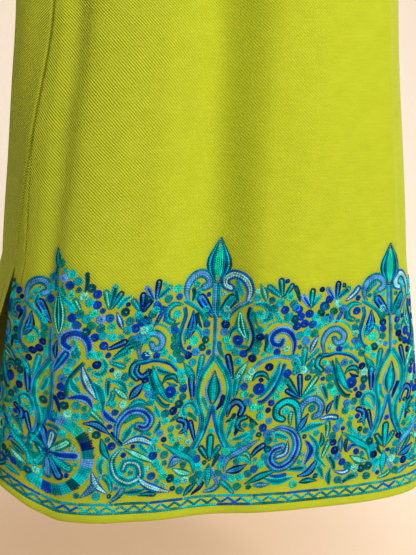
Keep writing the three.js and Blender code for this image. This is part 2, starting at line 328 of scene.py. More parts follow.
def sewn_relief(across, heights, rows):
    half_cut = ring(0)[2][-1] / 4
    up = np.concatenate([heights, np.full(rows - len(heights), float(CHEST_UP))])[:, None]
    into = (1 - np.abs(across))[None, :] * half_cut
    line = stitch_line_in(up)
    seam = line_at(into, *SEAM_LINE) * smoothstep(up, SLIT_LENGTH - 12, SLIT_LENGTH + 6)
    turned = TURNED_EDGE * (1 - smoothstep(into, line - 1, line + 1)) * (line > 1.5)
    edge_round = line_at(into, *SLIT_EDGE) * (1 - smoothstep(up, SLIT_LENGTH - 8, SLIT_LENGTH))
    sunk = line_at(into - line, *SLIT_STITCHES) * (line > 1.5)
    puff = HEM_PUFF * np.sin(np.clip(up / HEM_TURNING, 0, 1) * math.pi) ** 0.7
    hem = line_at(up, *HEM_EDGE) + line_at(up - HEM_TURNING, *HEM_STITCHES)
    return seam + turned + edge_round + sunk + puff + hem


# ---------------------------------------------------------------------------------------------
# The cloth: wool twill, woven in slanting ribs and dyed lime green, sewn as a single layer. Each
# piece of it is a closed wall with a map of its own threads, in millimetres.
# ---------------------------------------------------------------------------------------------
CLOTH_THICKNESS = 1.6


def quad_mesh(name, points, faces, chart=None, places=None):
    """A smooth mesh of four-sided faces, in millimetres, with a map given at the faces' corners."""
    mesh = bpy.data.meshes.new(name)
    mesh.vertices.add(len(points))
    mesh.vertices.foreach_set("co", (points * MM).astype(np.float32).ravel())
    mesh.loops.add(faces.size)
    mesh.loops.foreach_set("vertex_index", faces.astype(np.int32).ravel())
    mesh.polygons.add(len(faces))
    mesh.polygons.foreach_set("loop_start", np.arange(len(faces), dtype=np.int32) * 4)
    mesh.update(calc_edges=True)
    if chart:
        layer = mesh.uv_layers.new(name=chart)
        layer.uv.foreach_set("vector", places.astype(np.float32).ravel())
    mesh.shade_smooth()
    return mesh


def riding_piece(name, mesh):
    """The mesh as an object that goes with the garment's one body."""
    piece = bpy.data.objects.new(name, mesh)
    bpy.context.scene.collection.objects.link(piece)
    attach(piece, "root")
    return piece


def quads(index):
    """The four-sided faces between neighbours in a grid of point numbers."""
    low, high = index[..., :-1, :], index[..., 1:, :]
    corners = [low[..., :-1], low[..., 1:], high[..., 1:], high[..., :-1]]
    return np.stack(corners, -1).reshape(-1, 4)


def wall_corners(index, tube):
    """A wall's faces over a grid of numbers: its outside, its inside and the rims between them."""
    count = index.max() + 1
    outside = quads(index)
    low, high = index[0], index[-1, ::-1]
    edges = [low, high]
    if not tube:
        edges = [np.concatenate([low, index[1:, -1], high[1:], index[-2::-1, 0]])]
    rims = [np.stack([e[1:], e[:-1], e[:-1] + count, e[1:] + count], -1) for e in edges]
    return np.concatenate([outside, outside[:, ::-1] + count, *rims])


def cloth_wall(name, grid, normal, chart, tube=False):
    """A closed wall of cloth behind its outside. A tube's chart has one column more than its grid."""
    inner = grid - normal * CLOTH_THICKNESS
    points = np.concatenate([grid.reshape(-1, 3), inner.reshape(-1, 3)])
    index = np.arange(len(points) // 2).reshape(grid.shape[:2])
    if tube:
        index = np.hstack([index, index[:, :1]])
    corners = wall_corners(np.arange(index.size).reshape(index.shape), tube)
    places = np.tile(chart.reshape(-1, 2), (2, 1))[corners.ravel()]
    mesh = quad_mesh(name, points, wall_corners(index, tube), "threads", places)
    outside = (index.shape[0] - 1) * (index.shape[1] - 1)
    is_inside = np.zeros(len(corners), np.int32)
    is_inside[outside:2 * outside] = 1
    mesh.materials.append(wool_twill)
    # The inside faces take the copy of the twill with painted shade.
    mesh.materials.append(wool_twill_inside_painted_shade)
    mesh.polygons.foreach_set("material_index", is_inside)
    return riding_piece(name, mesh)


class Wiring:
    """Adds nodes to one tree. An input takes a value or another node's output."""

    def __init__(self, tree):
        self.tree = tree

    def fill(self, node, inputs):
        for key, value in inputs.items():
            if isinstance(value, bpy.types.NodeSocket):
                self.tree.links.new(value, node.inputs[key])
            else:
                node.inputs[key].default_value = value

    def add(self, kind, inputs=None, **settings):
        """A node, its settings made before its inputs; gives back its outputs."""
        node = self.tree.nodes.new(kind)
        for key, value in settings.items():
            setattr(node, key, value)
        self.fill(node, inputs or {})
        return node.outputs

    def maths(self, operation, *values):
        return self.add("ShaderNodeMath", dict(enumerate(values)), operation=operation)[0]

    def span(self, value, start, end, low=0.0, high=1.0, kind="LINEAR"):
        """What runs from start to end made to run from low to high."""
        ends = {"Value": value, "From Min": start, "From Max": end, "To Min": low, "To Max": high}
        return self.add("ShaderNodeMapRange", ends, interpolation_type=kind)["Result"]

    def mix(self, share, a, b):
        return self.add("ShaderNodeMix", {"Factor": share, "A": a, "B": b}, data_type="RGBA")["Result"]

    def scaled(self, colour, share):
        return self.add("ShaderNodeVectorMath", {0: colour, "Scale": share}, operation="SCALE")["Vector"]

    def noise(self, place, scale, detail, stretch=None):
        if stretch:
            place = self.add("ShaderNodeMapping", {"Vector": place, "Scale": stretch})["Vector"]
        return self.add("ShaderNodeTexNoise", {"Vector": place, "Scale": scale, "Detail": detail})["Fac"]


def new_group(name, inputs, outputs):
    """A node group with its sockets: the group, its wiring, what comes in and its end node."""
    group = bpy.data.node_groups.new(name, "ShaderNodeTree")
    for way, sockets in (("INPUT", inputs), ("OUTPUT", outputs)):
        for socket, kind in sockets.items():
            group.interface.new_socket(socket, in_out=way, socket_type="NodeSocket" + kind)
    wiring = Wiring(group)
    return group, wiring, wiring.add("NodeGroupInput"), group.nodes.new("NodeGroupOutput")


def new_material(name, inputs):
    """A material whose shader has these inputs: the material, its wiring and its shader."""
    material = bpy.data.materials.new(name)
    material.use_nodes = True
    shader = material.node_tree.nodes["Principled BSDF"]
    wiring = Wiring(material.node_tree)
    wiring.fill(shader, inputs)
    return material, wiring, shader


RIB_SPACING = 2.65
RIB_SLANT = 0.84             # rise of a rib along the weft, as a share of its run
LIME = (0.440, 0.505, 0.012, 1)
# Painted shade in the grooves of the ribs and a painted highlight on their crests
LIME_GROOVE_PAINTED_SHADE = (0.190, 0.235, 0.001, 1)
LIME_CREST_PAINTED_HIGHLIGHT = (0.640, 0.700, 0.035, 1)
LIME_LIGHT = (0.520, 0.575, 0.028, 1)
CRISP_ACROSS = (-235, -75)   # the ribs' painted shade and highlight, and their bump, stand out left of the one and are faint right of the other
CRISP_UP = (240, 430)        # and fade towards the hem, in painted light and in bump alike
INSIDE_PAINTED_SHADE_SHARE = 0.25          # painted shade: the cloth's inside lies in shade, and its colour is scaled by this


def twill_group():
    """The weave: slanting ribs, single yarns, and slubs along the weft."""
    group, wiring, start, end = new_group(
        "Wool twill weave", {"Threads": "Vector", "Rib spacing": "Float"},
        {"Rib": "Float", "Slub": "Float", "Height": "Float"})
    maths, threads = wiring.maths, start["Threads"]
    along = wiring.add("ShaderNodeSeparateXYZ", {0: threads})
    wobble = maths("MULTIPLY", wiring.noise(threads, 0.06, 2), 2.0)
    slant = maths("ADD", maths("MULTIPLY_ADD", along["X"], RIB_SLANT, along["Y"]), wobble)
    turns = maths("DIVIDE", slant, maths("MULTIPLY", start["Rib spacing"], math.sqrt(2)))
    rib = maths("MULTIPLY_ADD", maths("SINE", maths("MULTIPLY", turns, 2 * math.pi)), 0.5, 0.5)
    yarn = wiring.noise(threads, 1.1, 3, (0.5, 1.4, 1))
    slub = wiring.noise(threads, 0.30, 2, (0.10, 1.6, 1))
    height = maths("ADD", maths("MULTIPLY", rib, 0.75), maths("MULTIPLY", yarn, 0.55))
    height = maths("ADD", height, maths("MULTIPLY", slub, 0.35))
    wiring.fill(end, {"Rib": rib, "Slub": slub, "Height": height})
    return group


def twill_material(weave, name, share):
    """The dyed cloth with a soft mottle; share scales its colour, and below 1 paints shade into it."""
    material, wiring, shader = new_material(name, {
        "Roughness": 0.86, "Specular IOR Level": 0.22, "Sheen Weight": 0.22, "Sheen Roughness": 0.45,
        "Sheen Tint": (0.85, 0.9, 0.35, 1),
    })
    threads = wiring.add("ShaderNodeUVMap", uv_map="threads")["UV"]
    place = wiring.add("ShaderNodeSeparateXYZ", {0: threads})
    laid = {"Threads": threads, "Rib spacing": RIB_SPACING}
    cloth = wiring.add("ShaderNodeGroup", laid, node_tree=weave)
    # Painted light on the ribs: their colour contrast is strongest on the left and upper cloth, where the
    # light rakes across them; the same share sets their bump's strength.
    crisp = wiring.span(place["X"], *CRISP_ACROSS, 0.9, 0.13, "SMOOTHSTEP")
    rib_share = wiring.maths("MULTIPLY", crisp, wiring.span(place["Y"], *CRISP_UP, 0.35, 1, "SMOOTHSTEP"))
    ribbed = wiring.mix(rib_share, LIME, wiring.mix(cloth["Rib"], LIME_GROOVE_PAINTED_SHADE, LIME_CREST_PAINTED_HIGHLIGHT))
    mottle = wiring.span(wiring.noise(threads, 0.035, 4), 0.35, 0.75, 0, 0.35)
    dye_and_painted_rib_light = wiring.mix(mottle, ribbed, LIME_LIGHT)
    # Slubs in the weft; share also paints shade into the colour of the cloth's inside.
    slubs_and_painted_inside_shade = wiring.span(cloth["Slub"], 0.3, 0.7, 0.94 * share, 1.05 * share)
    # Painted shade: the ground darkens to 0.74 of its colour where embroidery rows lie close round it.
    painted_shade_near_rows = wiring.add("ShaderNodeAttribute", attribute_name="painted_shade_near_rows")["Fac"]
    tone = wiring.maths("MULTIPLY", slubs_and_painted_inside_shade, wiring.span(painted_shade_near_rows, 0, 1, 1.0, 0.74))
    strength = wiring.maths("MULTIPLY_ADD", rib_share, 0.65, 0.35)
    raised = {"Strength": strength, "Distance": 0.0012, "Height": cloth["Height"]}
    bump = wiring.add("ShaderNodeBump", raised)["Normal"]
    wiring.fill(shader, {"Base Color": wiring.scaled(dye_and_painted_rib_light, tone), "Normal": bump})
    return material


weave = twill_group()
wool_twill = twill_material(weave, "wool twill", 1.0)
# A copy of the twill darkened with painted shade, for the cloth's inside.
wool_twill_inside_painted_shade = twill_material(weave, "wool twill inside painted shade", INSIDE_PAINTED_SHADE_SHARE)

# ---------------------------------------------------------------------------------------------
# Front and back panels: wool twill, cut in one piece each from shoulder to hem, sewn together
# along the shoulders and down both sides to the slits.
# ---------------------------------------------------------------------------------------------
YOKE_ROW = 7.5               # length of cloth that one row above the chest has in the map
CUT_UPS = np.arange(0, 561, 20)
HALF_CUTS = np.array([ring(up)[2][-1] / 4 for up in CUT_UPS])

panels = {}
cloth_pieces = {}
for panel in ("front", "back"):
    across, heights, grid = panel_surface(panel)
    facing = 1 if panel == "front" else -1
    normal = normals_of(grid) * facing
    grid = grid + normal * sewn_relief(across, heights, len(grid))[..., None]
    ups = np.concatenate([heights, CHEST_UP + np.arange(1, YOKE_STEPS + 1) * YOKE_ROW])
    chart = np.stack(np.meshgrid(across * HALF_CUTS[0], ups), -1)
    panels[panel] = {"across": across, "heights": heights, "grid": grid, "normal": normal}
    piece = cloth_wall(f"{panel}_panel", grid[:, ::facing], normal[:, ::facing], chart[:, ::facing])
    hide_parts(panel)
    cloth_pieces[panel] = piece

# ---------------------------------------------------------------------------------------------
# Sleeves: straight tapered tubes of the same twill, set into the armholes and left open at the
# wrist, where the edge is turned in and sewn.
# ---------------------------------------------------------------------------------------------
SLEEVE_LENGTH = 440
SLEEVE_FALL = math.radians(42)
SLEEVE_SLACK = 6             # how far the sleeve hangs below a straight line
CUFF_HALF_HEIGHT = 54
CUFF_HALF_DEPTH = 50
CUFF_TURNING = 22
SEAM_GAP = 0.3
SLEEVE_PINCH = (-1.4, 3.0)    # depth and half width of each of these
ELBOW_CREASES = (2.6, 130)
CUFF_STITCHES = (-0.6, 2.0)
CUFF_EDGE = 0.8
ELBOW_ALONG = 150
SLEEVE_AROUND = 96
SLEEVE_ROWS = 84
SLEEVE_TURN = np.arange(SLEEVE_AROUND + 1) / SLEEVE_AROUND * 2 * math.pi
SLEEVE_MAP_RADIUS = 55       # of the tube in the map of its threads


def armhole_loop(side):
    """The armhole seam as a loop, from the shoulder forwards, down and back up."""
    half = SLEEVE_AROUND // 2
    edge = np.array([float(side)])
    front = [yoke_row("front", edge, 1 - k / half)[0] for k in range(half)]
    back = [yoke_row("back", edge, k / half)[0] for k in range(half)]
    return np.array(front + back)


def sleeve_grid(side):
    turn = SLEEVE_TURN[:-1]
    start = armhole_loop(side)
    middle = (start[0, 2] + start[SLEEVE_AROUND // 2, 2]) / 2
    start[:, 0] += side * SEAM_GAP
    high = CUFF_HALF_HEIGHT * np.cos(turn)
    end = np.stack([
        side * (ARMHOLE_X + math.cos(SLEEVE_FALL) * SLEEVE_LENGTH + high * math.sin(SLEEVE_FALL)),
        -CUFF_HALF_DEPTH * np.sin(turn),
        middle - math.sin(SLEEVE_FALL) * SLEEVE_LENGTH + high * math.cos(SLEEVE_FALL),
    ], -1)
    grid = []
    for along in np.linspace(0, 1, SLEEVE_ROWS + 1):
        row = start + (end - start) * along
        row[:, 2] -= math.sin(along * math.pi) * SLEEVE_SLACK * (0.5 - 0.5 * np.cos(turn))
        grid.append(row)
    return np.array(grid)


def tube_normals(grid):
    ahead, behind = np.roll(grid, -1, axis=1), np.roll(grid, 1, axis=1)
    normal = np.cross(ahead - behind, np.gradient(grid, axis=0))
    return normal / np.linalg.norm(normal, axis=2, keepdims=True)


def sleeve_relief():
    """The seam's pull at the armhole, soft creases by the elbow, and the turned edge of the cuff."""
    along = np.linspace(0, SLEEVE_LENGTH, SLEEVE_ROWS + 1)[:, None]
    turning = SLEEVE_LENGTH - CUFF_TURNING
    pinch = line_at(along, *SLEEVE_PINCH)
    wave = np.sin(along * 0.055 + 2.2 * np.sin(SLEEVE_TURN[:-1] + 0.6)[None, :])
    creases = wave * line_at(along - ELBOW_ALONG, *ELBOW_CREASES)
    cuff = CUFF_EDGE * (along > turning) + line_at(along - turning, *CUFF_STITCHES)
    return pinch + creases + cuff


for side, label in ((-1, "left"), (1, "right")):
    grid = sleeve_grid(side)[:, ::side]
    normal = tube_normals(grid)
    grid = grid + normal * sleeve_relief()[..., None]
    along = np.linspace(0, SLEEVE_LENGTH, SLEEVE_ROWS + 1)
    chart = np.stack(np.meshgrid(SLEEVE_TURN * SLEEVE_MAP_RADIUS, along), -1)
    piece = cloth_wall(f"{label}_sleeve", grid, normal, chart, tube=True)
    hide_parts(f"sleeve_{label}")

# ---------------------------------------------------------------------------------------------
# Sewing thread: short running stitches in dark green, sunk at both ends, hold the turned edges of
# the slits and the hem. They are laid out flat on the panel and then on the hanging cloth.
# ---------------------------------------------------------------------------------------------
RUN_STITCH = 2.6
RUN_GAP = 1.5
SEWING_THREAD = (0.060, 0.075, 0.004, 1)
SEWING_RADIUS = 0.42
SEWING_SIDES = 6
STITCH_PROFILE = ((0, -0.3), (0.25, 0.55), (0.75, 0.55), (1, -0.3))  # share of its length, height


def half_cut_at(up):
    """Half of a panel's width at heights above the hem."""
    return np.interp(up, CUT_UPS, HALF_CUTS)


def on_cloth(panel, u, v):
    """Places and outward directions on the hanging panel: u from its middle, v above the hem."""
    cut = panels[panel]
    column = np.interp(u / half_cut_at(v), cut["across"], np.arange(len(cut["across"])))
    row = np.interp(v, cut["heights"], np.arange(len(cut["heights"])))
    c = np.minimum(np.floor(column).astype(int), cut["grid"].shape[1] - 2)
    r = np.minimum(np.floor(row).astype(int), cut["grid"].shape[0] - 2)
    s, t = (column - c)[:, None], (row - r)[:, None]
    found = []
    for grid in (cut["grid"], cut["normal"]):
        low = grid[r, c] * (1 - s) + grid[r, c + 1] * s
        high = grid[r + 1, c] * (1 - s) + grid[r + 1, c + 1] * s
        found.append(low * (1 - t) + high * t)
    return found[0], found[1] / np.linalg.norm(found[1], axis=1, keepdims=True)


def left_of(along):
    """The directions a quarter turn to the left of others."""
    return np.stack([-along[:, 1], along[:, 0]], -1)


def running_stitches(name, panel):
    """Short round stitches along both slits and the hem."""
    half = HALF_CUTS[0] - SLIT_TURNING
    top = TURNING_RUNS_OUT_UP - 4 if panel == "front" else SLIT_LENGTH - 40
    ups = np.arange(HEM_TURNING, top, RUN_STITCH + RUN_GAP)
    across = np.arange(-half, half, RUN_STITCH + RUN_GAP)
    in_from_edge = half_cut_at(ups) - stitch_line_in(ups)
    starts = [np.stack([side * in_from_edge, ups], -1) for side in (-1, 1)]
    starts.append(np.stack([across, np.full(len(across), float(HEM_TURNING))], -1))
    starts = np.concatenate(starts)
    ahead = np.repeat([[0.0, 1.0], [1.0, 0.0]], [2 * len(ups), len(across)], axis=0)
    places, heights = [], []
    for share, tall in STITCH_PROFILE:
        for angle in np.arange(SEWING_SIDES) * 2 * math.pi / SEWING_SIDES:
            aside = left_of(ahead) * SEWING_RADIUS * math.cos(angle)
            places.append(starts + ahead * share * RUN_STITCH + aside)
            heights.append(np.full(len(starts), tall + SEWING_RADIUS * math.sin(angle)))
    flat, high = np.stack(places, 1).reshape(-1, 2), np.stack(heights, 1).ravel()
    place, outward = on_cloth(panel, flat[:, 0], flat[:, 1])
    index = np.arange(len(flat)).reshape(-1, len(STITCH_PROFILE), SEWING_SIDES)
    faces = quads(np.concatenate([index, index[..., :1]], -1))
    if panel == "back":
        faces = faces[:, ::-1]
    mesh = quad_mesh(name, place + outward * high[:, None], faces)
    mesh.materials.append(sewing_thread)
    return riding_piece(name, mesh)


sewing_thread = new_material("sewing thread", {"Base Color": SEWING_THREAD, "Roughness": 0.7})[0]
sewn_on = {panel: [running_stitches(f"{panel}_stitching", panel)] for panel in ("front", "back")}

# ---------------------------------------------------------------------------------------------
# Embroidery: crewel wool worked with a hook in chain stitch, row beside row, over the lower part
# of the front. Each motif is laid out flat on the panel, u from its middle and v above the hem,
# in millimetres, and its rows are then laid on the hanging cloth.
# ---------------------------------------------------------------------------------------------
ROW_WIDTH = 3.5
ROW_PITCH = 3.0
ROW_HEIGHT = 1.7
THINNEST_ROW = 1.4
ROW_OVERLAP = 1.17           # rows are this much wider than the space each has
FULLNESS = 1.20              # how much the wool swells a motif beyond its drawn width
HALF_STITCH = 1.5            # two halves make one link of the chain
EDGE_MARGIN = 5              # plain cloth left along the slits

DYES = {
    "navy": (0.0, 0.024, 0.210), "royal": (0.0, 0.060, 0.520), "cobalt": (0.0, 0.130, 0.620),
    "cornflower": (0.020, 0.300, 0.760), "periwinkle": (0.110, 0.390, 0.900),
    "dark_teal": (0.0, 0.095, 0.150), "teal": (0.0, 0.260, 0.350),
    "green_teal": (0.0, 0.300, 0.240), "turquoise": (0.0, 0.450, 0.560),
    "aqua": (0.0, 0.640, 0.700), "mint": (0.010, 0.740, 0.560), "pale_mint": (0.190, 0.840, 0.660),
    "frost": (0.360, 0.820, 0.820),
}

# The dye a knot has in its middle
DARKER = {
    "navy": "royal", "royal": "navy", "cobalt": "navy", "cornflower": "royal", "periwinkle": "cobalt",
    "dark_teal": "turquoise", "teal": "dark_teal", "green_teal": "dark_teal", "turquoise": "teal",
    "aqua": "teal", "mint": "green_teal", "pale_mint": "turquoise", "frost": "turquoise",
}

# Dyes side by side in one motif, from its outline inwards
BLENDS = {
    "sea": ["teal", "aqua", "dark_teal", "mint", "teal"],
    "deep": ["navy", "cornflower", "royal", "dark_teal", "aqua"],
    "pool": ["teal", "periwinkle", "royal", "turquoise", "dark_teal"],
    "moss": ["green_teal", "pale_mint", "dark_teal", "mint", "teal"],
    "dusk": ["dark_teal", "aqua", "royal", "green_teal", "mint"],
    "sky": ["cobalt", "frost", "cobalt", "aqua", "royal"],
    "jade": ["turquoise", "dark_teal", "mint", "green_teal", "aqua"],
    "night": ["dark_teal", "turquoise", "teal", "aqua", "navy"],
    "iris": ["periwinkle", "royal", "turquoise", "navy", "cobalt"],
    "foam": ["aqua", "teal", "frost", "dark_teal", "aqua"],
    "bud": ["periwinkle", "dark_teal", "green_teal", "aqua", "teal"],
}


def evenly(path, step=HALF_STITCH):
    """The same path with its places set at even steps; further columns go with them."""
    walked = np.concatenate([[0], np.cumsum(np.hypot(*np.diff(path[:, :2], axis=0).T))])
    count = max(2, int(round(walked[-1] / step)) + 1)
    at = np.linspace(0, walked[-1], count)
    return np.stack([np.interp(at, walked, column) for column in path.T], -1)


def smooth_path(points, step=HALF_STITCH):
    """An even walk along a smooth curve through a few places."""
    p = np.array(points, float)
    if len(p) == 2:
        p = np.array([p[0], (p[0] + p[1]) / 2, p[1]])
    before, after = 2 * p[0] - p[1], 2 * p[-1] - p[-2]
    q = np.concatenate([[before], p, [after]])
    t = np.linspace(0, 1, 24, endpoint=False)[:, None]
    walk = []
    for k in range(len(p) - 1):
        a, b, c, d = q[k:k + 4]
        walk.append(0.5 * (2 * b + (c - a) * t + (2 * a - 5 * b + 4 * c - d) * t ** 2
                           + (3 * b - a - 3 * c + d) * t ** 3))
    return evenly(np.concatenate(walk + [p[-1:]]), step)


def ahead_on(path):
    """The direction of a path at each of its places."""
    along = np.gradient(path, axis=0)
    return along / np.maximum(np.hypot(*along.T), 1e-9)[:, None]


def chain_row(path, dye, width=ROW_WIDTH, lift=0.0):
    """One row of chain stitches: where it runs, its dye, its width and how high it starts."""
    path = np.asarray(path, float)
    width = path[:, 2] if path.shape[1] == 3 else np.full(len(path), float(width))
    return {"path": path[:, :2], "dye": dye, "width": width, "lift": lift}


def filled_shape(spine, half_width, blend, lift):
    """Rows nested inside the outline of a shape that swells along a spine."""
    spine = smooth_path(spine)
    t = np.linspace(0, 1, len(spine))
    reach = np.interp(t, np.linspace(0, 1, len(half_width)), half_width) * FULLNESS
    widest = reach.max()
    count = max(2, int(round(2 * widest / ROW_PITCH)))
    width = np.clip(2 * reach / count * ROW_OVERLAP, THINNEST_ROW, ROW_WIDTH)[:, None]
    along = ahead_on(spine)
    left = left_of(along)
    cap = np.linspace(math.pi / 2, -math.pi / 2, 7)[1:-1, None]
    rows = []
    for k in range((count + 1) // 2):
        dye = BLENDS[blend][min(k, 4)]
        starts, stops = [int(k * ROW_PITCH * (1 - r / widest) / HALF_STITCH) for r in reach[[0, -1]]]
        if starts + stops > len(spine) - 5:
            break
        part = slice(starts, len(spine) - stops)
        line, side, ahead, thick = spine[part], left[part], along[part], width[part]
        if 2 * k + 1 == count:
            rows.append(chain_row(evenly(np.hstack([line, thick])), dye, lift=lift))
            continue
        out = (reach * (1 - (2 * k + 1) / count))[part, None]
        end_cap = line[-1] + (np.sin(cap) * side[-1] + np.cos(cap) * ahead[-1]) * out[-1]
        start_cap = line[0] - (np.sin(cap) * side[0] + np.cos(cap) * ahead[0]) * out[0]
        loop = np.concatenate([line + side * out, end_cap, (line - side * out)[::-1], start_cap])
        thick = np.concatenate([thick, thick[-1] + 0 * cap, thick[::-1], thick[0] + 0 * cap])
        loop = np.hstack([loop, thick])
        rows.append(chain_row(evenly(np.concatenate([loop, loop[:1]])), dye, lift=lift))
    return rows


# How wide each kind of motif is on its way from foot to tip: a pointed leaf, a blunt petal, a
# band that grows to a full rounded end, and a band that is thin at both ends.
SWELLS = {
    "leaf": (0.1, 0.55, 0.85, 1.0, 0.92, 0.66, 0.36, 0.08),
    "finger": (0.45, 0.7, 0.9, 1.0, 1.0),
    "scroll": (0.3, 0.62, 0.86, 1.0, 1.0, 1.0, 0.94, 0.86),
    "horn": (0.15, 0.5, 0.8, 1.0, 1.0, 0.8, 0.45, 0.12),
}
FINGER_ROUND = 0.4           # share of a finger's width that its round end takes


def motif(kind, points, width, blend, bow=0.0, lift=0.0):
    """One filled shape. With two places only, bow bends it to its left."""
    if len(points) == 2:
        base, tip = np.array(points, float)
        side = np.array([base[1] - tip[1], tip[0] - base[0]])
        middle = (base + tip) / 2 + side / np.hypot(*side) * bow
        if kind == "finger":
            tip = tip - (tip - base) / np.hypot(*side) * width * FINGER_ROUND
        points = [base, middle, tip]
    return filled_shape(points, [width / 2 * swell for swell in SWELLS[kind]], blend, lift)


def stem(points, *dyes):
    """Rows side by side along a curve."""
    path = smooth_path(points)
    left = left_of(ahead_on(path))
    offsets = (np.arange(len(dyes)) - (len(dyes) - 1) / 2) * ROW_PITCH
    return [chain_row(evenly(path + left * offset), dye) for offset, dye in zip(offsets, dyes)]


KNOT_SWELL = 1.12            # how much a knot is larger than its drawn size
KNOT_HEART = ((-1.1, 0.0), (0.0, 0.3), (1.1, 0.0))   # the stitch on top of a knot
BEAD_DYES = ["turquoise", "aqua", "teal", "royal", "dark_teal", "mint", "turquoise", "cobalt",
             "green_teal", "aqua", "royal", "teal", "pale_mint", "cornflower", "dark_teal", "navy"]
FAMILIES = {
    "all": BEAD_DYES,
    "sea": ["aqua", "turquoise", "turquoise", "teal", "mint", "aqua", "green_teal"],
}
dice = np.random.default_rng(11)


def bead(place, size, dye, heart=None, turn=0.0):
    """A small round knot: one row wound outwards from its middle, and a stitch on top."""
    size = size * KNOT_SWELL
    turns = max(1.0, (size / 2 - 0.9) / ROW_PITCH + 0.35)
    angle = np.linspace(0, turns * 2 * math.pi, int(10 + 14 * turns)) + turn
    out = np.minimum(0.5 + (angle - turn) / (2 * math.pi) * ROW_PITCH, size / 2 - ROW_WIDTH * 0.45)
    path = np.array(place) + np.stack([np.cos(angle), np.sin(angle)], -1) * out[:, None]
    wound = chain_row(evenly(path, 1.4), dye, lift=0.3)
    return [wound, chain_row(np.array(place) + KNOT_HEART, heart or DARKER[dye], 3.0, 0.5)]


def bead_string(points, size=10.6, family="all"):
    """Knots set close along a curve, each in a dye of its own."""
    path = smooth_path(points, 1.0)
    walked = np.arange(len(path))
    rows = []
    for at in np.arange(size / 2, len(path), size * 1.03):
        place = [np.interp(at, walked, path[:, 0]), np.interp(at, walked, path[:, 1])]
        place += dice.normal(0, 0.5, 2)
        dye = FAMILIES[family][dice.integers(len(FAMILIES[family]))]
        rows += bead(place, size * dice.uniform(0.9, 1.08), dye, turn=dice.uniform(0, 6.28))
    return rows


def bead_cluster(points):
    """Knots close to given places."""
    rows = []
    for point in points:
        place = point + dice.normal(0, 0.6, 2)
        dye = BEAD_DYES[dice.integers(len(BEAD_DYES))]
        rows += bead(place, 11, dye, turn=dice.uniform(0, 6))
    return rows


WORKED = {"stem": stem, "bead": bead, "string": bead_string, "cluster": bead_cluster}


def drawn(shapes, hand=0):
    """The rows of a table of shapes. Of a name in two parts, hand takes the first or second."""
    rows = []
    for kind, points, *rest in shapes:
        for k, part in enumerate(rest):
            if isinstance(part, str):
                rest[k] = part.split("/")[min(hand, part.count("/"))]
        rows += motif(kind, points, *rest) if kind in SWELLS else WORKED[kind](points, *rest)
    return rows


def placed(rows, middle, mirror=1):
    """The same rows about another axis, and turned over where mirror is -1."""
    return [{**row, "path": row["path"] * [mirror, 1] + [middle, 0]} for row in rows]


RIBBON_ACROSS = np.array([-0.5, -0.34, 0.0, 0.34, 0.5])
RIBBON_HEIGHT = np.array([-0.15, 0.68, 1.0, 0.68, -0.15])
LINK_WAIST = 0.55            # share of its height that a link has where the next begins
LINK_NARROWS = 0.28          # how far the height of a link also tells on its width
ROW_ENDS = 0.45              # share of its height and width that a row has at its ends


def inside_edges(rows):
    """The rows cut off where they would run into the panel's turned edges."""
    kept = []
    for row in rows:
        limit = half_cut_at(row["path"][:, 1]) - EDGE_MARGIN
        good = np.abs(row["path"][:, 0]) < limit
        for run in np.split(np.arange(len(good)), np.flatnonzero(np.diff(good.astype(int))) + 1):
            if good[run[0]] and len(run) > 2:
                kept.append({**row, "path": row["path"][run], "width": row["width"][run]})
    return kept


def stitched_piece(name, panel, rows):
    """All rows of one kind as one mesh on the cloth: rounded ribbons with links and hollows."""
    flat, heights, chart, faces, dyes = [], [], [], [], []
    start = 0
    for row in inside_edges(rows):
        path = row["path"]
        steps = np.arange(len(path))
        link = np.where(steps % 2 == 0, 1.0, LINK_WAIST)
        ends = np.ones(len(path))
        ends[[0, -1]] = ROW_ENDS
        width = row["width"] * (1 - LINK_NARROWS + LINK_NARROWS * link) * ends
        across = width[:, None] * RIBBON_ACROSS
        left = left_of(ahead_on(path))
        flat.append((path[:, None] + left[:, None] * across[..., None]).reshape(-1, 2))
        tall = ROW_HEIGHT * RIBBON_HEIGHT * (link * ends)[:, None]
        heights.append((tall + row["lift"] * (RIBBON_HEIGHT > 0)).ravel())
        run = np.broadcast_to(steps[:, None] * HALF_STITCH, across.shape)
        chart.append(np.stack([across, run], -1).reshape(-1, 2))
        index = start + np.arange(across.size).reshape(across.shape)
        faces.append(quads(index.T))
        dyes += [list(DYES).index(row["dye"])] * len(faces[-1])
        start += across.size
    flat, faces = np.concatenate(flat), np.concatenate(faces)
    place, outward = on_cloth(panel, flat[:, 0], flat[:, 1])
    if panel == "front":
        faces = faces[:, ::-1]
    points = place + outward * np.concatenate(heights)[:, None]
    mesh = quad_mesh(name, points, faces, "stitches", np.concatenate(chart)[faces.ravel()])
    for dye in DYES:
        mesh.materials.append(threads[dye])
    mesh.polygons.foreach_set("material_index", np.array(dyes, np.int32))
    return riding_piece(name, mesh)


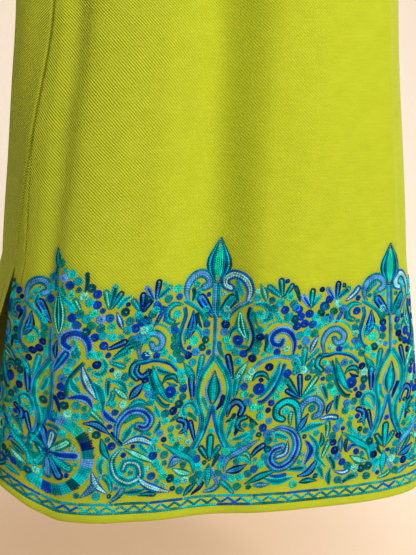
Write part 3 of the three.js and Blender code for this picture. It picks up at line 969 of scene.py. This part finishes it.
def chain_stitch_group():
    """Twisted wool in linked stitches: two slanting strands that meet along the row's middle."""
    group, wiring, start, end = new_group(
        "Chain stitch", {"Stitches": "Vector", "Length": "Float"},
        {"Height": "Float", "Painted hollow shade": "Float"})
    maths = wiring.maths
    place = wiring.add("ShaderNodeSeparateXYZ", {0: start["Stitches"]})
    away = maths("ABSOLUTE", place["X"])
    slant = maths("SUBTRACT", place["Y"], maths("MULTIPLY", away, 1.3))
    turns = maths("DIVIDE", slant, start["Length"])
    linked = maths("SINE", maths("MULTIPLY", turns, 2 * math.pi))
    ply = maths("SINE", maths("MULTIPLY", maths("ADD", slant, place["X"]), 9.0))
    height = maths("ADD", maths("MULTIPLY", linked, 0.5), maths("MULTIPLY", ply, 0.16))
    middle = maths("SUBTRACT", 1.0, maths("MINIMUM", maths("MULTIPLY", away, 2.4), 1.0))
    height = maths("SUBTRACT", height, maths("MULTIPLY", middle, 0.5))
    # Painted shade: the hollow value darkens the wool's colour between the links and towards the row's
    # edges.
    hollow = maths("MULTIPLY_ADD", linked, -0.5, 0.5)
    groove = maths("MULTIPLY", maths("MULTIPLY", away, away), 0.24)
    hollow = maths("MINIMUM", maths("ADD", maths("MULTIPLY", hollow, 0.85), groove), 1.0)
    wiring.fill(end, {"Height": height, "Painted hollow shade": hollow})
    return group


LINK_LENGTH = 3.4
WOOL_PATCHES = 90.0
WOOL_LIGHTNESS = (1.15, 2.1)     # of the dye, over the lighter and darker patches of the wool
HOLLOW_SHADE = -1.05


def thread_material(name, dye, stitches):
    """Wool of one dye: patchy, with painted shade in the hollows between its stitches and towards its
    rows' edges.
    """
    material, wiring, shader = new_material(
        f"crewel wool {name}", {"Roughness": 0.6, "Specular IOR Level": 0.03})
    place = wiring.add("ShaderNodeUVMap", uv_map="stitches")["UV"]
    chain = wiring.add("ShaderNodeGroup", {"Stitches": place, "Length": LINK_LENGTH}, node_tree=stitches)
    patches = wiring.noise(wiring.add("ShaderNodeTexCoord")["Object"], WOOL_PATCHES, 3.0)
    shade = wiring.span(patches, 0.3, 0.7, *WOOL_LIGHTNESS)
    # Painted shade from the hollows darkens the patchy wool.
    patches_with_painted_shade = wiring.maths("MULTIPLY_ADD", chain["Painted hollow shade"], HOLLOW_SHADE, shade)
    raised = {"Strength": 0.9, "Distance": 0.0009, "Height": chain["Height"]}
    bump = wiring.add("ShaderNodeBump", raised)["Normal"]
    wiring.fill(shader, {"Base Color": wiring.scaled(dye, patches_with_painted_shade), "Normal": bump})
    return material


stitches = chain_stitch_group()
threads = {name: thread_material(name, dye, stitches) for name, dye in DYES.items()}

# Flowering trees stand on three axes of the border, each alike on both sides in other dyes: a
# tall pointed bud, hooks, a stem that parts into an arch round a second bud, paisleys in rings of
# knots, and a small flower at the foot. Of the first only the outer half is worked.
TREES = (
    {"middle": (-242, -243, -252), "crown": 0.91, "whole": False},
    {"middle": (-31, -31, -41), "crown": 0.955, "whole": True},
    {"middle": (210, 214, 194), "crown": 0.89, "whole": True},
)
TREE_HEIGHTS = (0, 200, 380)     # where a tree's three middles lie
CROWN_UP = 200                   # its crown begins here
TREE_NARROWS = 0.96

# A shape is its kind, its places from foot to tip, its width, its blend, how far it bows and how
# high it lies. A stem has its dyes after its places.
TREE_AXIS = [
    ("leaf", [(0, 320), (1, 384)], 29, "dusk"),
    ("stem", [(0, 321), (0, 300), (0, 276)], "turquoise", "periwinkle", "teal", "turquoise"),
    ("stem", [(0, 277), (0, 250), (-1, 219)], "teal", "periwinkle"),
    ("leaf", [(0, 153), (0, 199)], 20, "bud"),
    ("finger", [(0, 78), (0, 112)], 9, "dusk", 0, 0.3),
    ("leaf", [(0, 72), (-1, 39)], 10, "sea", 0, 0.3),
]
TREE_HALF = [
    # crown: hooks, leaves, a ring of knots and a spiral hook
    ("finger", [(5, 276), (24, 305)], 12, "night/deep", 0, 0.2),
    ("scroll", [(40, 299), (43, 315), (36, 330), (23, 336), (12, 330), (11, 320), (18, 316)], 11,
     "sky/pool"),
    ("finger", [(29, 297), (24, 315)], 6.5, "jade/foam"),
    ("stem", [(46, 301), (35, 294), (24, 285), (16, 272), (14, 260)], "periwinkle/turquoise", "teal"),
    ("scroll", [(48, 296), (60, 297), (69, 289), (68, 277), (61, 273)], 8.5, "foam/sea"),
    ("stem", [(45, 292), (43, 279), (48, 263), (51, 248), (47, 233), (37, 224)], "navy/cobalt", "teal"),
    ("leaf", [(40, 246), (32, 285)], 12, "moss/deep", 3, 0.2),
    ("horn", [(19, 245), (23, 257), (33, 261), (42, 254), (43, 240)], 8, "jade/foam"),
    ("bead", (30, 243), 13, "royal/mint", "periwinkle/aqua"),
    ("string", [(14, 291), (13, 262), (13, 246), (19, 232), (32, 225), (46, 222)]),
    ("string", [(57, 266), (58, 250), (56, 234), (49, 219)]),
    ("scroll", [(104, 222), (106, 240), (99, 255), (86, 260), (75, 252), (76, 241), (85, 238),
     (89, 245)], 9, "iris/pool"),
    ("stem", [(62, 256), (71, 268), (87, 273), (104, 266)], "aqua"),
    ("finger", [(86, 270), (77, 286)], 6, "foam/sky"),
    ("finger", [(94, 272), (100, 284)], 6, "jade/night"),
    ("bead", (94, 232), 9, "pale_mint"),
    ("bead", (72, 232), 10.5, "aqua"),
    ("bead", (82, 228), 9, "royal"),
    # arms: the arch, its fingers and hook, and a paisley ringed with knots
    ("stem", [(1, 220), (8, 208), (17, 194), (22, 177), (20, 157), (13, 136), (15, 114), (25, 93)],
     "aqua/mint", "teal", "turquoise/cornflower"),
    ("stem", [(1, 154), (5, 134), (11, 114), (21, 95)], "cobalt", "turquoise"),
    ("leaf", [(27, 186), (44, 214)], 10, "moss/sea"),
    ("finger", [(24, 190), (17, 222)], 8, "deep/sea"),
    ("finger", [(29, 164), (33, 196)], 8.5, "sea/deep"),
    ("scroll", [(21, 138), (24, 152), (33, 158), (41, 151), (38, 141)], 8.5, "deep/foam"),
    ("finger", [(22, 106), (30, 134)], 6.5, "foam/deep"),
    ("finger", [(33, 112), (38, 127)], 5.5, "deep/jade"),
    ("stem", [(52, 204), (64, 216), (84, 222), (101, 219), (113, 222)], "periwinkle/royal", "turquoise"),
    ("scroll", [(98, 222), (111, 217), (115, 205), (108, 197)], 8.5, "sea/dusk"),
    ("horn", [(87, 214), (83, 198), (76, 183), (66, 168), (58, 162)], 9.5, "foam/sea"),
    ("stem", [(94, 211), (89, 192), (81, 173), (69, 159), (60, 157)], "royal/dark_teal", "teal"),
    ("horn", [(51, 187), (57, 196), (67, 196), (73, 188)], 7.5, "night"),
    ("bead", (61, 176), 15, "royal", "periwinkle"),
    ("string", [(51, 204), (44, 190), (42, 174), (47, 158), (60, 148), (74, 149)]),
    ("string", [(84, 160), (91, 176), (97, 196)]),
    ("string", [(60, 137), (74, 138)], 10.6, "sea"),
    # along the border's top: fingers and a cluster of knots
    ("finger", [(84, 307), (65, 323)], 8, "sea/jade"),
    ("finger", [(85, 308), (82, 333)], 7.5, "dusk/deep"),
    ("finger", [(88, 306), (99, 325)], 6.5, "night/iris"),
    ("cluster", [(83, 299), (96, 307), (89, 288), (101, 296), (95, 278), (108, 287), (104, 275),
     (76, 291)]),
    ("finger", [(74, 275), (68, 286)], 5.5, "foam/sky"),
    # foot: a leaf in an arc of knots, and half of the small flower
    ("string", [(68, 126), (79, 108), (78, 88), (68, 69), (52, 56), (36, 51), (20, 53)]),
    ("string", [(54, 130), (57, 116), (50, 105), (39, 97), (28, 92)], 8.5, "sea"),
    ("scroll", [(44, 118), (36, 123), (37, 133), (46, 137)], 8, "night/deep"),
    ("horn", [(21, 61), (26, 79), (44, 91), (67, 106)], 9.5, "pool/sea", 0, 0.2),
    ("horn", [(38, 83), (50, 86), (57, 76)], 6.5, "moss/iris"),
    ("leaf", [(24, 60), (52, 71)], 10, "deep/moss", -2),
    ("string", [(26, 93), (19, 82), (16, 70), (14, 58)]),
    ("finger", [(3, 80), (14, 97)], 8, "sea/dusk", 0, 0.2),
    ("finger", [(3, 66), (14, 43)], 6, "iris/foam"),
]


def drawn_up(rows, tree):
    """A tree's rows on its own axis, with its crown drawn down."""
    moved = []
    for row in rows:
        u, v = row["path"].T
        u = u * TREE_NARROWS + np.interp(v, TREE_HEIGHTS, tree["middle"])
        v = np.where(v > CROWN_UP, CROWN_UP + (v - CROWN_UP) * tree["crown"], v)
        moved.append({**row, "path": np.stack([u, v], -1)})
    return moved


trees = []
for tree in TREES:
    if tree["whole"]:
        trees += drawn_up(drawn(TREE_AXIS), tree)
    for hand, mirror in enumerate((1, -1)):
        if tree["whole"] or mirror == -1:
            trees += drawn_up(placed(drawn(TREE_HALF, hand), 0, mirror), tree)

# Between two trees stands a spray with knots. Under it are paired hooks and a great scroll that
# turns back on itself, or in every other gap two scrolls with sprigs.
FILL_MIDDLES = (-352, -137, 84, 334)
FILL_TOP = [
    ("finger", [(0, 286), (-12, 303)], 7, "iris/sea"),
    ("finger", [(1, 287), (1, 311)], 7.5, "dusk/deep"),
    ("finger", [(2, 286), (13, 302)], 6.5, "foam/deep"),
    ("cluster", [(0, 277), (-11, 274), (10, 273), (-5, 264), (6, 262), (-15, 262), (16, 261),
     (0, 252), (-9, 248), (10, 249), (-19, 286), (20, 288), (-1, 240)]),
]
HOOK_HALF = [
    ("scroll", [(1, 116), (1, 138), (6, 152), (19, 157), (30, 149), (30, 137), (22, 132)], 10,
     "pool/dusk"),
    ("finger", [(3, 162), (22, 190)], 8, "moss/night"),
    ("finger", [(1, 160), (21, 173)], 7, "foam/deep"),
    ("finger", [(4, 196), (15, 214)], 7, "sea/jade"),
]
HOOK_MIDDLE = [
    ("finger", [(0, 163), (-4, 194)], 7, "deep", 0, 0.2),
    ("finger", [(0, 204), (0, 232)], 8, "sea"),
    ("bead", (0, 200), 11, "pale_mint", "aqua"),
    ("bead", (-9, 203), 10, "aqua"),
    ("bead", (9, 204), 10, "teal"),
    ("leaf", [(-1, 112), (13, 137)], 9, "deep", 0, 0.3),
    ("leaf", [(3, 111), (38, 121)], 10, "foam", 2),
    ("scroll", [(-36, 117), (-22, 120), (-5, 111), (1, 92), (-7, 72), (-23, 64), (-35, 74), (-32, 88),
     (-20, 93)], 12.5, "pool"),
    ("scroll", [(-12, 100), (-15, 84), (-26, 79)], 7, "sky"),
    ("horn", [(-26, 60), (-44, 54), (-66, 43)], 9, "night", 0, 0.2),
    ("horn", [(-42, 50), (-24, 44), (-2, 49)], 9, "foam"),
    ("horn", [(12, 100), (21, 84), (12, 64)], 9, "iris"),
    ("horn", [(16, 108), (28, 92), (30, 74), (44, 58)], 8, "foam"),
    ("horn", [(31, 72), (20, 54), (4, 49)], 9, "deep"),
    ("horn", [(29, 84), (36, 96), (34, 108)], 7, "night"),
]
SCROLL_FILL = [
    ("scroll", [(-19, 114), (-18, 136), (-5, 152), (12, 153), (23, 142), (18, 131), (8, 133)], 12.5,
     "pool"),
    ("leaf", [(-12, 112), (2, 137)], 9, "foam", 0, 0.2),
    ("horn", [(-12, 108), (8, 115), (26, 109), (31, 98)], 9, "sky"),
    ("horn", [(-9, 103), (10, 93), (32, 82)], 9, "moss"),
    ("stem", [(-12, 107), (-28, 126)], "navy", "teal"),
    ("scroll", [(-12, 104), (-24, 88), (-19, 66), (-2, 55), (13, 63), (10, 80), (-5, 83), (-9, 74)], 13,
     "foam"),
    ("horn", [(10, 66), (19, 54), (36, 45), (54, 39)], 9.5, "sky", 0, 0.2),
    ("horn", [(-8, 42), (8, 42), (22, 46)], 8, "jade"),
    ("finger", [(-33, 223), (-8, 235)], 7.5, "foam"),
    ("finger", [(-30, 226), (3, 247)], 7, "night", 2),
    ("finger", [(-33, 220), (-14, 213)], 7, "sea"),
    ("scroll", [(5, 220), (1, 207), (9, 199), (18, 206)], 8, "deep"),
    ("leaf", [(-6, 169), (12, 192)], 11, "deep"),
    ("horn", [(-8, 157), (6, 166), (21, 161)], 8, "sea"),
    ("horn", [(-32, 196), (-18, 192), (-8, 178)], 8, "foam"),
    ("leaf", [(-8, 170), (-26, 186)], 9, "moss"),
    ("string", [(-28, 206), (-18, 202), (-6, 197)]),
    ("bead", (12, 228), 11, "royal", "periwinkle"),
    ("bead", (-26, 164), 10, "aqua"),
    ("bead", (27, 174), 10, "teal"),
]

fills = []
for number, middle in enumerate(FILL_MIDDLES):
    rows = drawn(FILL_TOP, number % 2)
    if number % 2:
        rows += drawn(SCROLL_FILL)
    else:
        rows += drawn(HOOK_HALF) + placed(drawn(HOOK_HALF, 1), 0, -1) + drawn(HOOK_MIDDLE)
    fills += placed(rows, middle)

# By the left side the first tree's inner half gives way to a bud, knots, a hook and horns, over a
# fan: long petals in a part ring of short rows set side by side like blocks.
SIDE_TREE = [
    ("leaf", [(-249, 343), (-252, 369)], 8, "night"),
    ("stem", [(-247, 312), (-250, 344)], "teal", "cobalt"),
    ("leaf", [(-236, 256), (-243, 314)], 17, "moss"),
    ("stem", [(-248, 262), (-246, 228), (-241, 203), (-240, 162), (-243, 137)], "teal", "cornflower"),
    ("scroll", [(-198, 227), (-198, 243), (-204, 255), (-216, 260), (-228, 255), (-229, 245),
     (-222, 240)], 11, "iris"),
    ("finger", [(-209, 225), (-215, 244)], 7, "foam"),
    ("finger", [(-239, 206), (-223, 236)], 12, "iris"),
    ("finger", [(-239, 306), (-244, 318)], 6, "foam"),
    ("finger", [(-241, 309), (-222, 294)], 7, "foam"),
    ("finger", [(-212, 290), (-221, 305)], 7, "moss"),
    ("finger", [(-178, 292), (-184, 316)], 7, "moss"),
    ("finger", [(-177, 292), (-172, 322)], 7, "jade"),
    ("finger", [(-175, 292), (-163, 313)], 7, "night"),
    ("stem", [(-202, 221), (-216, 203), (-221, 188), (-221, 173)], "dark_teal", "teal"),
    ("horn", [(-217, 200), (-213, 188), (-203, 178)], 9, "foam"),
    ("horn", [(-220, 172), (-207, 175), (-195, 171), (-188, 158)], 9.5, "iris", 0, 0.2),
    ("horn", [(-204, 217), (-201, 204), (-195, 190), (-185, 172)], 10, "sky"),
    ("horn", [(-194, 196), (-183, 186), (-177, 168), (-176, 154)], 10, "foam"),
    ("scroll", [(-180, 226), (-176, 214), (-181, 205), (-189, 206)], 8, "foam"),
    ("horn", [(-199, 139), (-183, 137), (-166, 124)], 9, "deep"),
    ("horn", [(-178, 160), (-168, 146), (-155, 138)], 9, "iris"),
    ("horn", [(-176, 118), (-171, 100), (-163, 88)], 9, "night"),
]
KNOTS = [
    (-244, 350, "green_teal"), (-238, 331, "periwinkle"), (-229, 322, "royal"), (-228, 337, "aqua"),
    (-219, 328, "turquoise"), (-210, 308, "pale_mint"), (-202, 319, "dark_teal"), (-194, 311, "royal"),
    (-202, 300, "aqua"), (-193, 297, "royal"), (-213, 285, "teal"), (-222, 280, "royal"),
    (-223, 292, "aqua"), (-215, 271, "cobalt"), (-204, 279, "turquoise"), (-196, 286, "mint"),
    (-197, 270, "green_teal"), (-203, 262, "dark_teal"), (-187, 278, "periwinkle"), (-186, 266, "teal"),
    (-192, 254, "royal"), (-176, 279, "cobalt"), (-172, 267, "mint"), (-170, 254, "aqua"),
    (-180, 243, "royal"), (-182, 256, "turquoise"), (-213, 233, "teal"), (-217, 221, "turquoise"),
    (-222, 210, "aqua"), (-227, 198, "cornflower"), (-228, 186, "royal"), (-227, 174, "navy"),
    (-223, 162, "dark_teal"), (-195, 232, "aqua"), (-186, 230, "mint"), (-187, 218, "navy"),
    (-218, 151, "pale_mint"), (-207, 148, "aqua"), (-196, 149, "turquoise"), (-183, 160, "mint"),
    (-233, 146, "aqua"), (-254, 330, "teal"), (-255, 316, "aqua"), (-254, 300, "royal"),
]
FAN_MIDDLE = np.array([-242, 92])
FAN_RING = (43, 60)
FAN_OPENS, FAN_CLOSES = math.radians(104), math.radians(-118)
PETALS = [
    (108, 34, "deep"), (78, 31, "sky"), (38, 35, "moss"), (2, 39, "iris"), (-32, 36, "sea"),
    (-62, 37, "deep"), (-88, 36, "pool"), (-120, 28, "sea"), (150, 26, "night"),
]
BLOCK_DYES = ["turquoise", "cobalt", "periwinkle", "aqua", "mint", "dark_teal", "navy", "teal",
              "periwinkle", "turquoise", "aqua", "dark_teal", "turquoise", "teal", "royal", "aqua"]
BLOCK_ROWS = 4               # rows of one dye in a block
FAN_HORNS = [
    ("horn", [(-186, 72), (-180, 54), (-166, 42)], 9, "sky"),
    ("horn", [(-176, 66), (-186, 48), (-199, 36)], 9, "pool"),
]


def towards(angle):
    return np.array([math.cos(angle), math.sin(angle)])


side_tree = drawn(SIDE_TREE)
for u, v, dye in KNOTS:
    side_tree += bead((u, v), 10.8, dye, turn=u * 0.7)
for degrees, length, blend in PETALS:
    away = towards(math.radians(degrees))
    side_tree += motif("finger", [FAN_MIDDLE + away * 4, FAN_MIDDLE + away * length], 11, blend, lift=0.2)
side_tree += bead(FAN_MIDDLE, 9, "royal", "navy")
blocks = int((FAN_OPENS - FAN_CLOSES) * sum(FAN_RING) / 2 / ROW_PITCH)
for k in range(blocks):
    away = towards(FAN_OPENS + (FAN_CLOSES - FAN_OPENS) * k / blocks)
    outer = FAN_RING[1] - k % 3 * 0.8
    path = smooth_path([FAN_MIDDLE + away * FAN_RING[0], FAN_MIDDLE + away * outer])
    side_tree.append(chain_row(path, BLOCK_DYES[k // BLOCK_ROWS % len(BLOCK_DYES)]))
side_tree += drawn(FAN_HORNS)

# What is still open between the motifs is closed with knots and small leaves, up to the line that
# the motifs themselves draw against the plain cloth above. It is looked for on cells of 1 mm.
FIELD_LEFT, FIELD_RIGHT = -400, 400
FIELD_LOW, FIELD_HIGH = 28, 440
GAP_STARTS_UP = 38           # plain cloth is left below this
GAP_PARTS_UP = 268           # openings above this are closed up to a smaller width
GAP_CLOSES_BELOW, GAP_CLOSES_ABOVE = 15, 11      # half the widest opening that counts as a gap
CLEARANCES = (6.2, 5.2, 4.4, 3.8)                # free room round a new motif, widest first
LOOK_AROUND = 7              # cells, more than any clearance
LONGEST_WALK = 13
LONG_ROOM = 9                # room beyond a knot's that a petal or leaf needs
PETAL_WIDTH, KNOT_SIZE = 1.25, 1.7       # of a motif, as shares of its clearance
MOST_BOW = 2.5
LEAF_BLENDS = ["sea", "foam", "jade", "deep", "night", "sky", "moss", "pool"]


def marked_near(field, radius):
    """The number of marked cells within a radius of each cell, and the most there can be."""
    y, x = np.ogrid[:field.shape[0], :field.shape[1]]
    y, x = np.minimum(y, field.shape[0] - y), np.minimum(x, field.shape[1] - x)
    disc = (x * x + y * y <= radius * radius).astype(float)
    near = np.fft.irfft2(np.fft.rfft2(field.astype(float)) * np.fft.rfft2(disc), field.shape)
    return near, disc.sum()


def spread(field, radius):
    """The marked cells grown by a disc."""
    return marked_near(field, radius)[0] > 0.5


def in_field(field, u, v):
    return (u >= 0) & (v >= 0) & (u < field.shape[1]) & (v < field.shape[0])


def mark(field, rows):
    """Marks the cells where rows lie."""
    for row in rows:
        path, half = row["path"], row["width"].mean() / 2
        steps = np.arange(-half, half + 0.1, 0.8)
        for du in steps:
            for dv in steps:
                if du * du + dv * dv <= half * half + 0.2:
                    u = np.round(path[:, 0] + du - FIELD_LEFT).astype(int)
                    v = np.round(path[:, 1] + dv - FIELD_LOW).astype(int)
                    fits = in_field(field, u, v)
                    field[v[fits], u[fits]] = True


def field_of(rows):
    field = np.zeros((FIELD_HIGH - FIELD_LOW, FIELD_RIGHT - FIELD_LEFT), bool)
    mark(field, rows)
    return field


def free_walk(field, u, v, angle):
    """How far a straight walk from a place stays on free cells."""
    for step in range(1, LONGEST_WALK):
        c, r = int(round(u + math.cos(angle) * step)), int(round(v + math.sin(angle) * step))
        if not in_field(field, c, r) or field[r, c]:
            return step - 1
    return LONGEST_WALK


def is_free(field, u, v, clear):
    """Whether no marked cell lies within the clearance of a place."""
    low, left = min(LOOK_AROUND, v), min(LOOK_AROUND, u)
    around = field[v - low:v + LOOK_AROUND + 1, u - left:u + LOOK_AROUND + 1]
    y, x = np.ogrid[-low:around.shape[0] - low, -left:around.shape[1] - left]
    return not (around & (x * x + y * y <= clear * clear)).any()


def gap_motif(field, u, v, clear):
    """A small petal or leaf where the room is long, otherwise a knot."""
    place = np.array([u + FIELD_LEFT, v + FIELD_LOW], float)
    walks = [(free_walk(field, u, v, a), free_walk(field, u, v, a + math.pi), a)
             for a in np.arange(8) * math.pi / 8]
    ahead, behind, angle = max(walks, key=lambda walk: walk[0] + walk[1])
    if ahead + behind > clear * 2 + LONG_ROOM and dice.random() < 0.6:
        away = towards(angle)
        ends = [place - away * (behind - 0.5), place + away * (ahead - 0.5)]
        kind = "finger" if dice.random() < 0.7 else "leaf"
        blend = LEAF_BLENDS[dice.integers(len(LEAF_BLENDS))]
        return motif(kind, ends, clear * PETAL_WIDTH, blend, dice.uniform(-MOST_BOW, MOST_BOW))
    dye = BEAD_DYES[dice.integers(len(BEAD_DYES))]
    return bead(place, clear * KNOT_SIZE, dye, turn=dice.uniform(0, 6))


def close_gaps(rows):
    field = field_of(rows)
    field[:3] = True
    reaches = (GAP_CLOSES_BELOW, GAP_CLOSES_ABOVE)
    below, above = [~spread(~spread(field, reach), reach) for reach in reaches]
    closed = np.concatenate([below[:GAP_PARTS_UP - FIELD_LOW], above[GAP_PARTS_UP - FIELD_LOW:]])
    closed[:GAP_STARTS_UP - FIELD_LOW] = False
    added = []
    for clear in CLEARANCES:
        spots = np.argwhere(closed & ~spread(field, clear))
        dice.shuffle(spots)
        for v, u in spots:
            if is_free(field, u, v, clear):
                new = gap_motif(field, u, v, clear)
                mark(field, new)
                added += new
    return added


gaps = close_gaps(trees + fills + side_tree)

# The ground between close rows lies in shade, and that shade is painted into the cloth's colour: the
# cloth carries how much of it is covered near each of its points.
PAINTED_SHADE_RADIUS = 9                 # how far round a point the rows count
PAINTED_SHADE_FULL_AT = 0.8         # share covered that gives the full painted shade
ABOVE_WORK = 900.0


def shade_worked_cloth(panel, rows):
    near, most = marked_near(field_of(rows), PAINTED_SHADE_RADIUS)
    cut = panels[panel]
    up = np.concatenate([cut["heights"], np.full(len(cut["grid"]) - len(cut["heights"]), ABOVE_WORK)])
    c = np.round(cut["across"] * half_cut_at(up)[:, None] - FIELD_LEFT).astype(int)
    r = np.round(up - FIELD_LOW).astype(int)[:, None] + 0 * c
    fits = in_field(near, c, r)
    covered = np.zeros(c.shape)
    covered[fits] = np.clip(near[r[fits], c[fits]] / (most * PAINTED_SHADE_FULL_AT), 0, 1)
    values = np.concatenate([covered.ravel(), 0 * covered.ravel()])
    layer = cloth_pieces[panel].data.attributes.new("painted_shade_near_rows", "FLOAT", "POINT")
    layer.data.foreach_set("value", values.astype(np.float32))


shade_worked_cloth("front", trees + fills + side_tree + gaps)

# A narrow border of two rows with a zigzag between them runs above the hem, all round.
BORDER_ROWS = (13.5, 26)
BORDER_RUN = 46              # worked in one dye
BORDER_ROW_WIDTH = 4.3
ZIGZAG_STEP = 9
ZIGZAG_INSET = 3.0
ZIGZAG_WIDTH = 3.9
RUN_DYES = ["teal", "turquoise", "aqua", "teal", "turquoise", "cobalt", "teal", "turquoise"]


def hem_border():
    half = HALF_CUTS[0] - EDGE_MARGIN
    rows = []
    for number, up in enumerate(BORDER_ROWS):
        for k, left_end in enumerate(np.arange(-half, half, BORDER_RUN)):
            right_end = min(left_end + BORDER_RUN, half)
            path = smooth_path([(left_end, up), ((left_end + right_end) / 2, up + 0.5), (right_end, up)])
            dye = RUN_DYES[(k * (3 - number) + number * 3) % len(RUN_DYES)]
            rows.append(chain_row(path, dye, BORDER_ROW_WIDTH))
    ups = (BORDER_ROWS[0] + ZIGZAG_INSET, BORDER_ROWS[1] - ZIGZAG_INSET)
    corners = np.arange(-half + 4, half - 4, ZIGZAG_STEP)
    for k in range(0, len(corners) - 3, 3):
        path = np.array([(corners[j], ups[j % 2]) for j in range(k, k + 4)])
        rows.append(chain_row(evenly(path), RUN_DYES[(k // 3 * 5 + 1) % len(RUN_DYES)], ZIGZAG_WIDTH))
    return rows


WORK = {
    "embroidered_trees": ("front", trees),
    "embroidered_fills": ("front", fills),
    "embroidered_side_tree": ("front", side_tree),
    "embroidered_gaps": ("front", gaps),
    "front_hem_border": ("front", hem_border()),
    "back_hem_border": ("back", hem_border()),
}
for name, (panel, rows) in WORK.items():
    sewn_on[panel].append(stitched_piece(name, panel, rows))

# ---------------------------------------------------------------------------------------------
# A plain pale floor of paper that curves up into a backdrop, and soft studio light from the right.
# The paper is clear from behind and carries a painted shadow round the garment. Sizes here are in metres.
# ---------------------------------------------------------------------------------------------
FLOOR_Z = -1.44
BACKDROP_Y = 3.2
BACKDROP_BEND = 1.2
BACKDROP_FRONT = -6.0
BACKDROP_TOP = 4.0
BACKDROP_HALF_WIDTH = 9.0
PAPER = (0.78, 0.685, 0.59, 1)
# Painted shadow: the paper darkens to this towards a place on the floor behind the garment.
PAPER_SHADE = (0.56, 0.38, 0.245, 1)
SHADE_MIDDLE = (-0.17, 0.50, FLOOR_Z)
SHADE_REACH = (0.05, 1.15)


def paper_material():
    material, wiring, shader = new_material("paper", {"Roughness": 0.95})
    where = wiring.add("ShaderNodeTexCoord")["Object"]
    # Painted shadow of the garment on the floor
    away = wiring.add("ShaderNodeVectorMath", {0: where, 1: SHADE_MIDDLE}, operation="DISTANCE")["Value"]
    far = wiring.span(away, *SHADE_REACH, kind="SMOOTHSTEP")
    wiring.fill(shader, {"Base Color": wiring.mix(far, PAPER_SHADE, PAPER)})
    clear = wiring.add("ShaderNodeBsdfTransparent")["BSDF"]
    behind = wiring.add("ShaderNodeNewGeometry")["Backfacing"]
    seen = wiring.add("ShaderNodeMixShader", {"Fac": behind, 1: shader.outputs["BSDF"], 2: clear})
    wiring.fill(material.node_tree.nodes["Material Output"], {"Surface": seen["Shader"]})
    return material


def backdrop():
    profile = [(BACKDROP_FRONT, FLOOR_Z)]
    for angle in np.linspace(0, math.pi / 2, 24):
        y = BACKDROP_Y - BACKDROP_BEND + BACKDROP_BEND * math.sin(angle)
        profile.append((y, FLOOR_Z + BACKDROP_BEND * (1 - math.cos(angle))))
    profile.append((BACKDROP_Y, BACKDROP_TOP))
    points = [(x, y, z) for x in (-BACKDROP_HALF_WIDTH, BACKDROP_HALF_WIDTH) for y, z in profile]
    faces = quads(np.arange(len(points)).reshape(2, -1).T)
    mesh = quad_mesh("backdrop", np.array(points) / MM, faces)
    mesh.materials.append(paper_material())
    sweep = bpy.data.objects.new("backdrop", mesh)
    bpy.context.scene.collection.objects.link(sweep)


def soft_light(name, place, aim, size, power, colour):
    data = bpy.data.lights.new(name, "AREA")
    data.shape = "RECTANGLE"
    data.size, data.size_y = size
    data.energy = power
    data.color = colour
    lamp = bpy.data.objects.new(name, data)
    lamp.location = place
    lamp.rotation_euler = (Vector(aim) - Vector(place)).to_track_quat("-Z", "Y").to_euler()
    bpy.context.scene.collection.objects.link(lamp)


backdrop()
soft_light("key", (1.5, -2.3, 0.6), (0, 0, -0.8), (0.5, 1.2), 69, (1.0, 0.97, 0.92))
soft_light("fill", (0.1, -3.2, 1.0), (0, 0, -0.9), (1.0, 1.0), 34, (1.0, 0.97, 0.90))
soft_light("side", (-3.0, -0.6, 0.2), (0, 0, -0.8), (0.8, 1.6), 6, (1.0, 0.97, 0.90))
soft_light("rim", (1.8, 1.6, 0.9), (0, 0, -0.6), (0.8, 1.4), 30, (1.0, 0.97, 0.92))
soft_light("paper_light", (0.6, 0.9, 2.4), (0, 2.6, -0.6), (2.0, 1.2), 112, (1.0, 0.98, 0.95))

world = bpy.data.worlds.new("studio")
world.use_nodes = True
world.node_tree.nodes["Background"].inputs["Color"].default_value = (1.0, 0.95, 0.88, 1)
world.node_tree.nodes["Background"].inputs["Strength"].default_value = 0.08
bpy.context.scene.world = world
bpy.context.scene.view_settings.view_transform = "Standard"
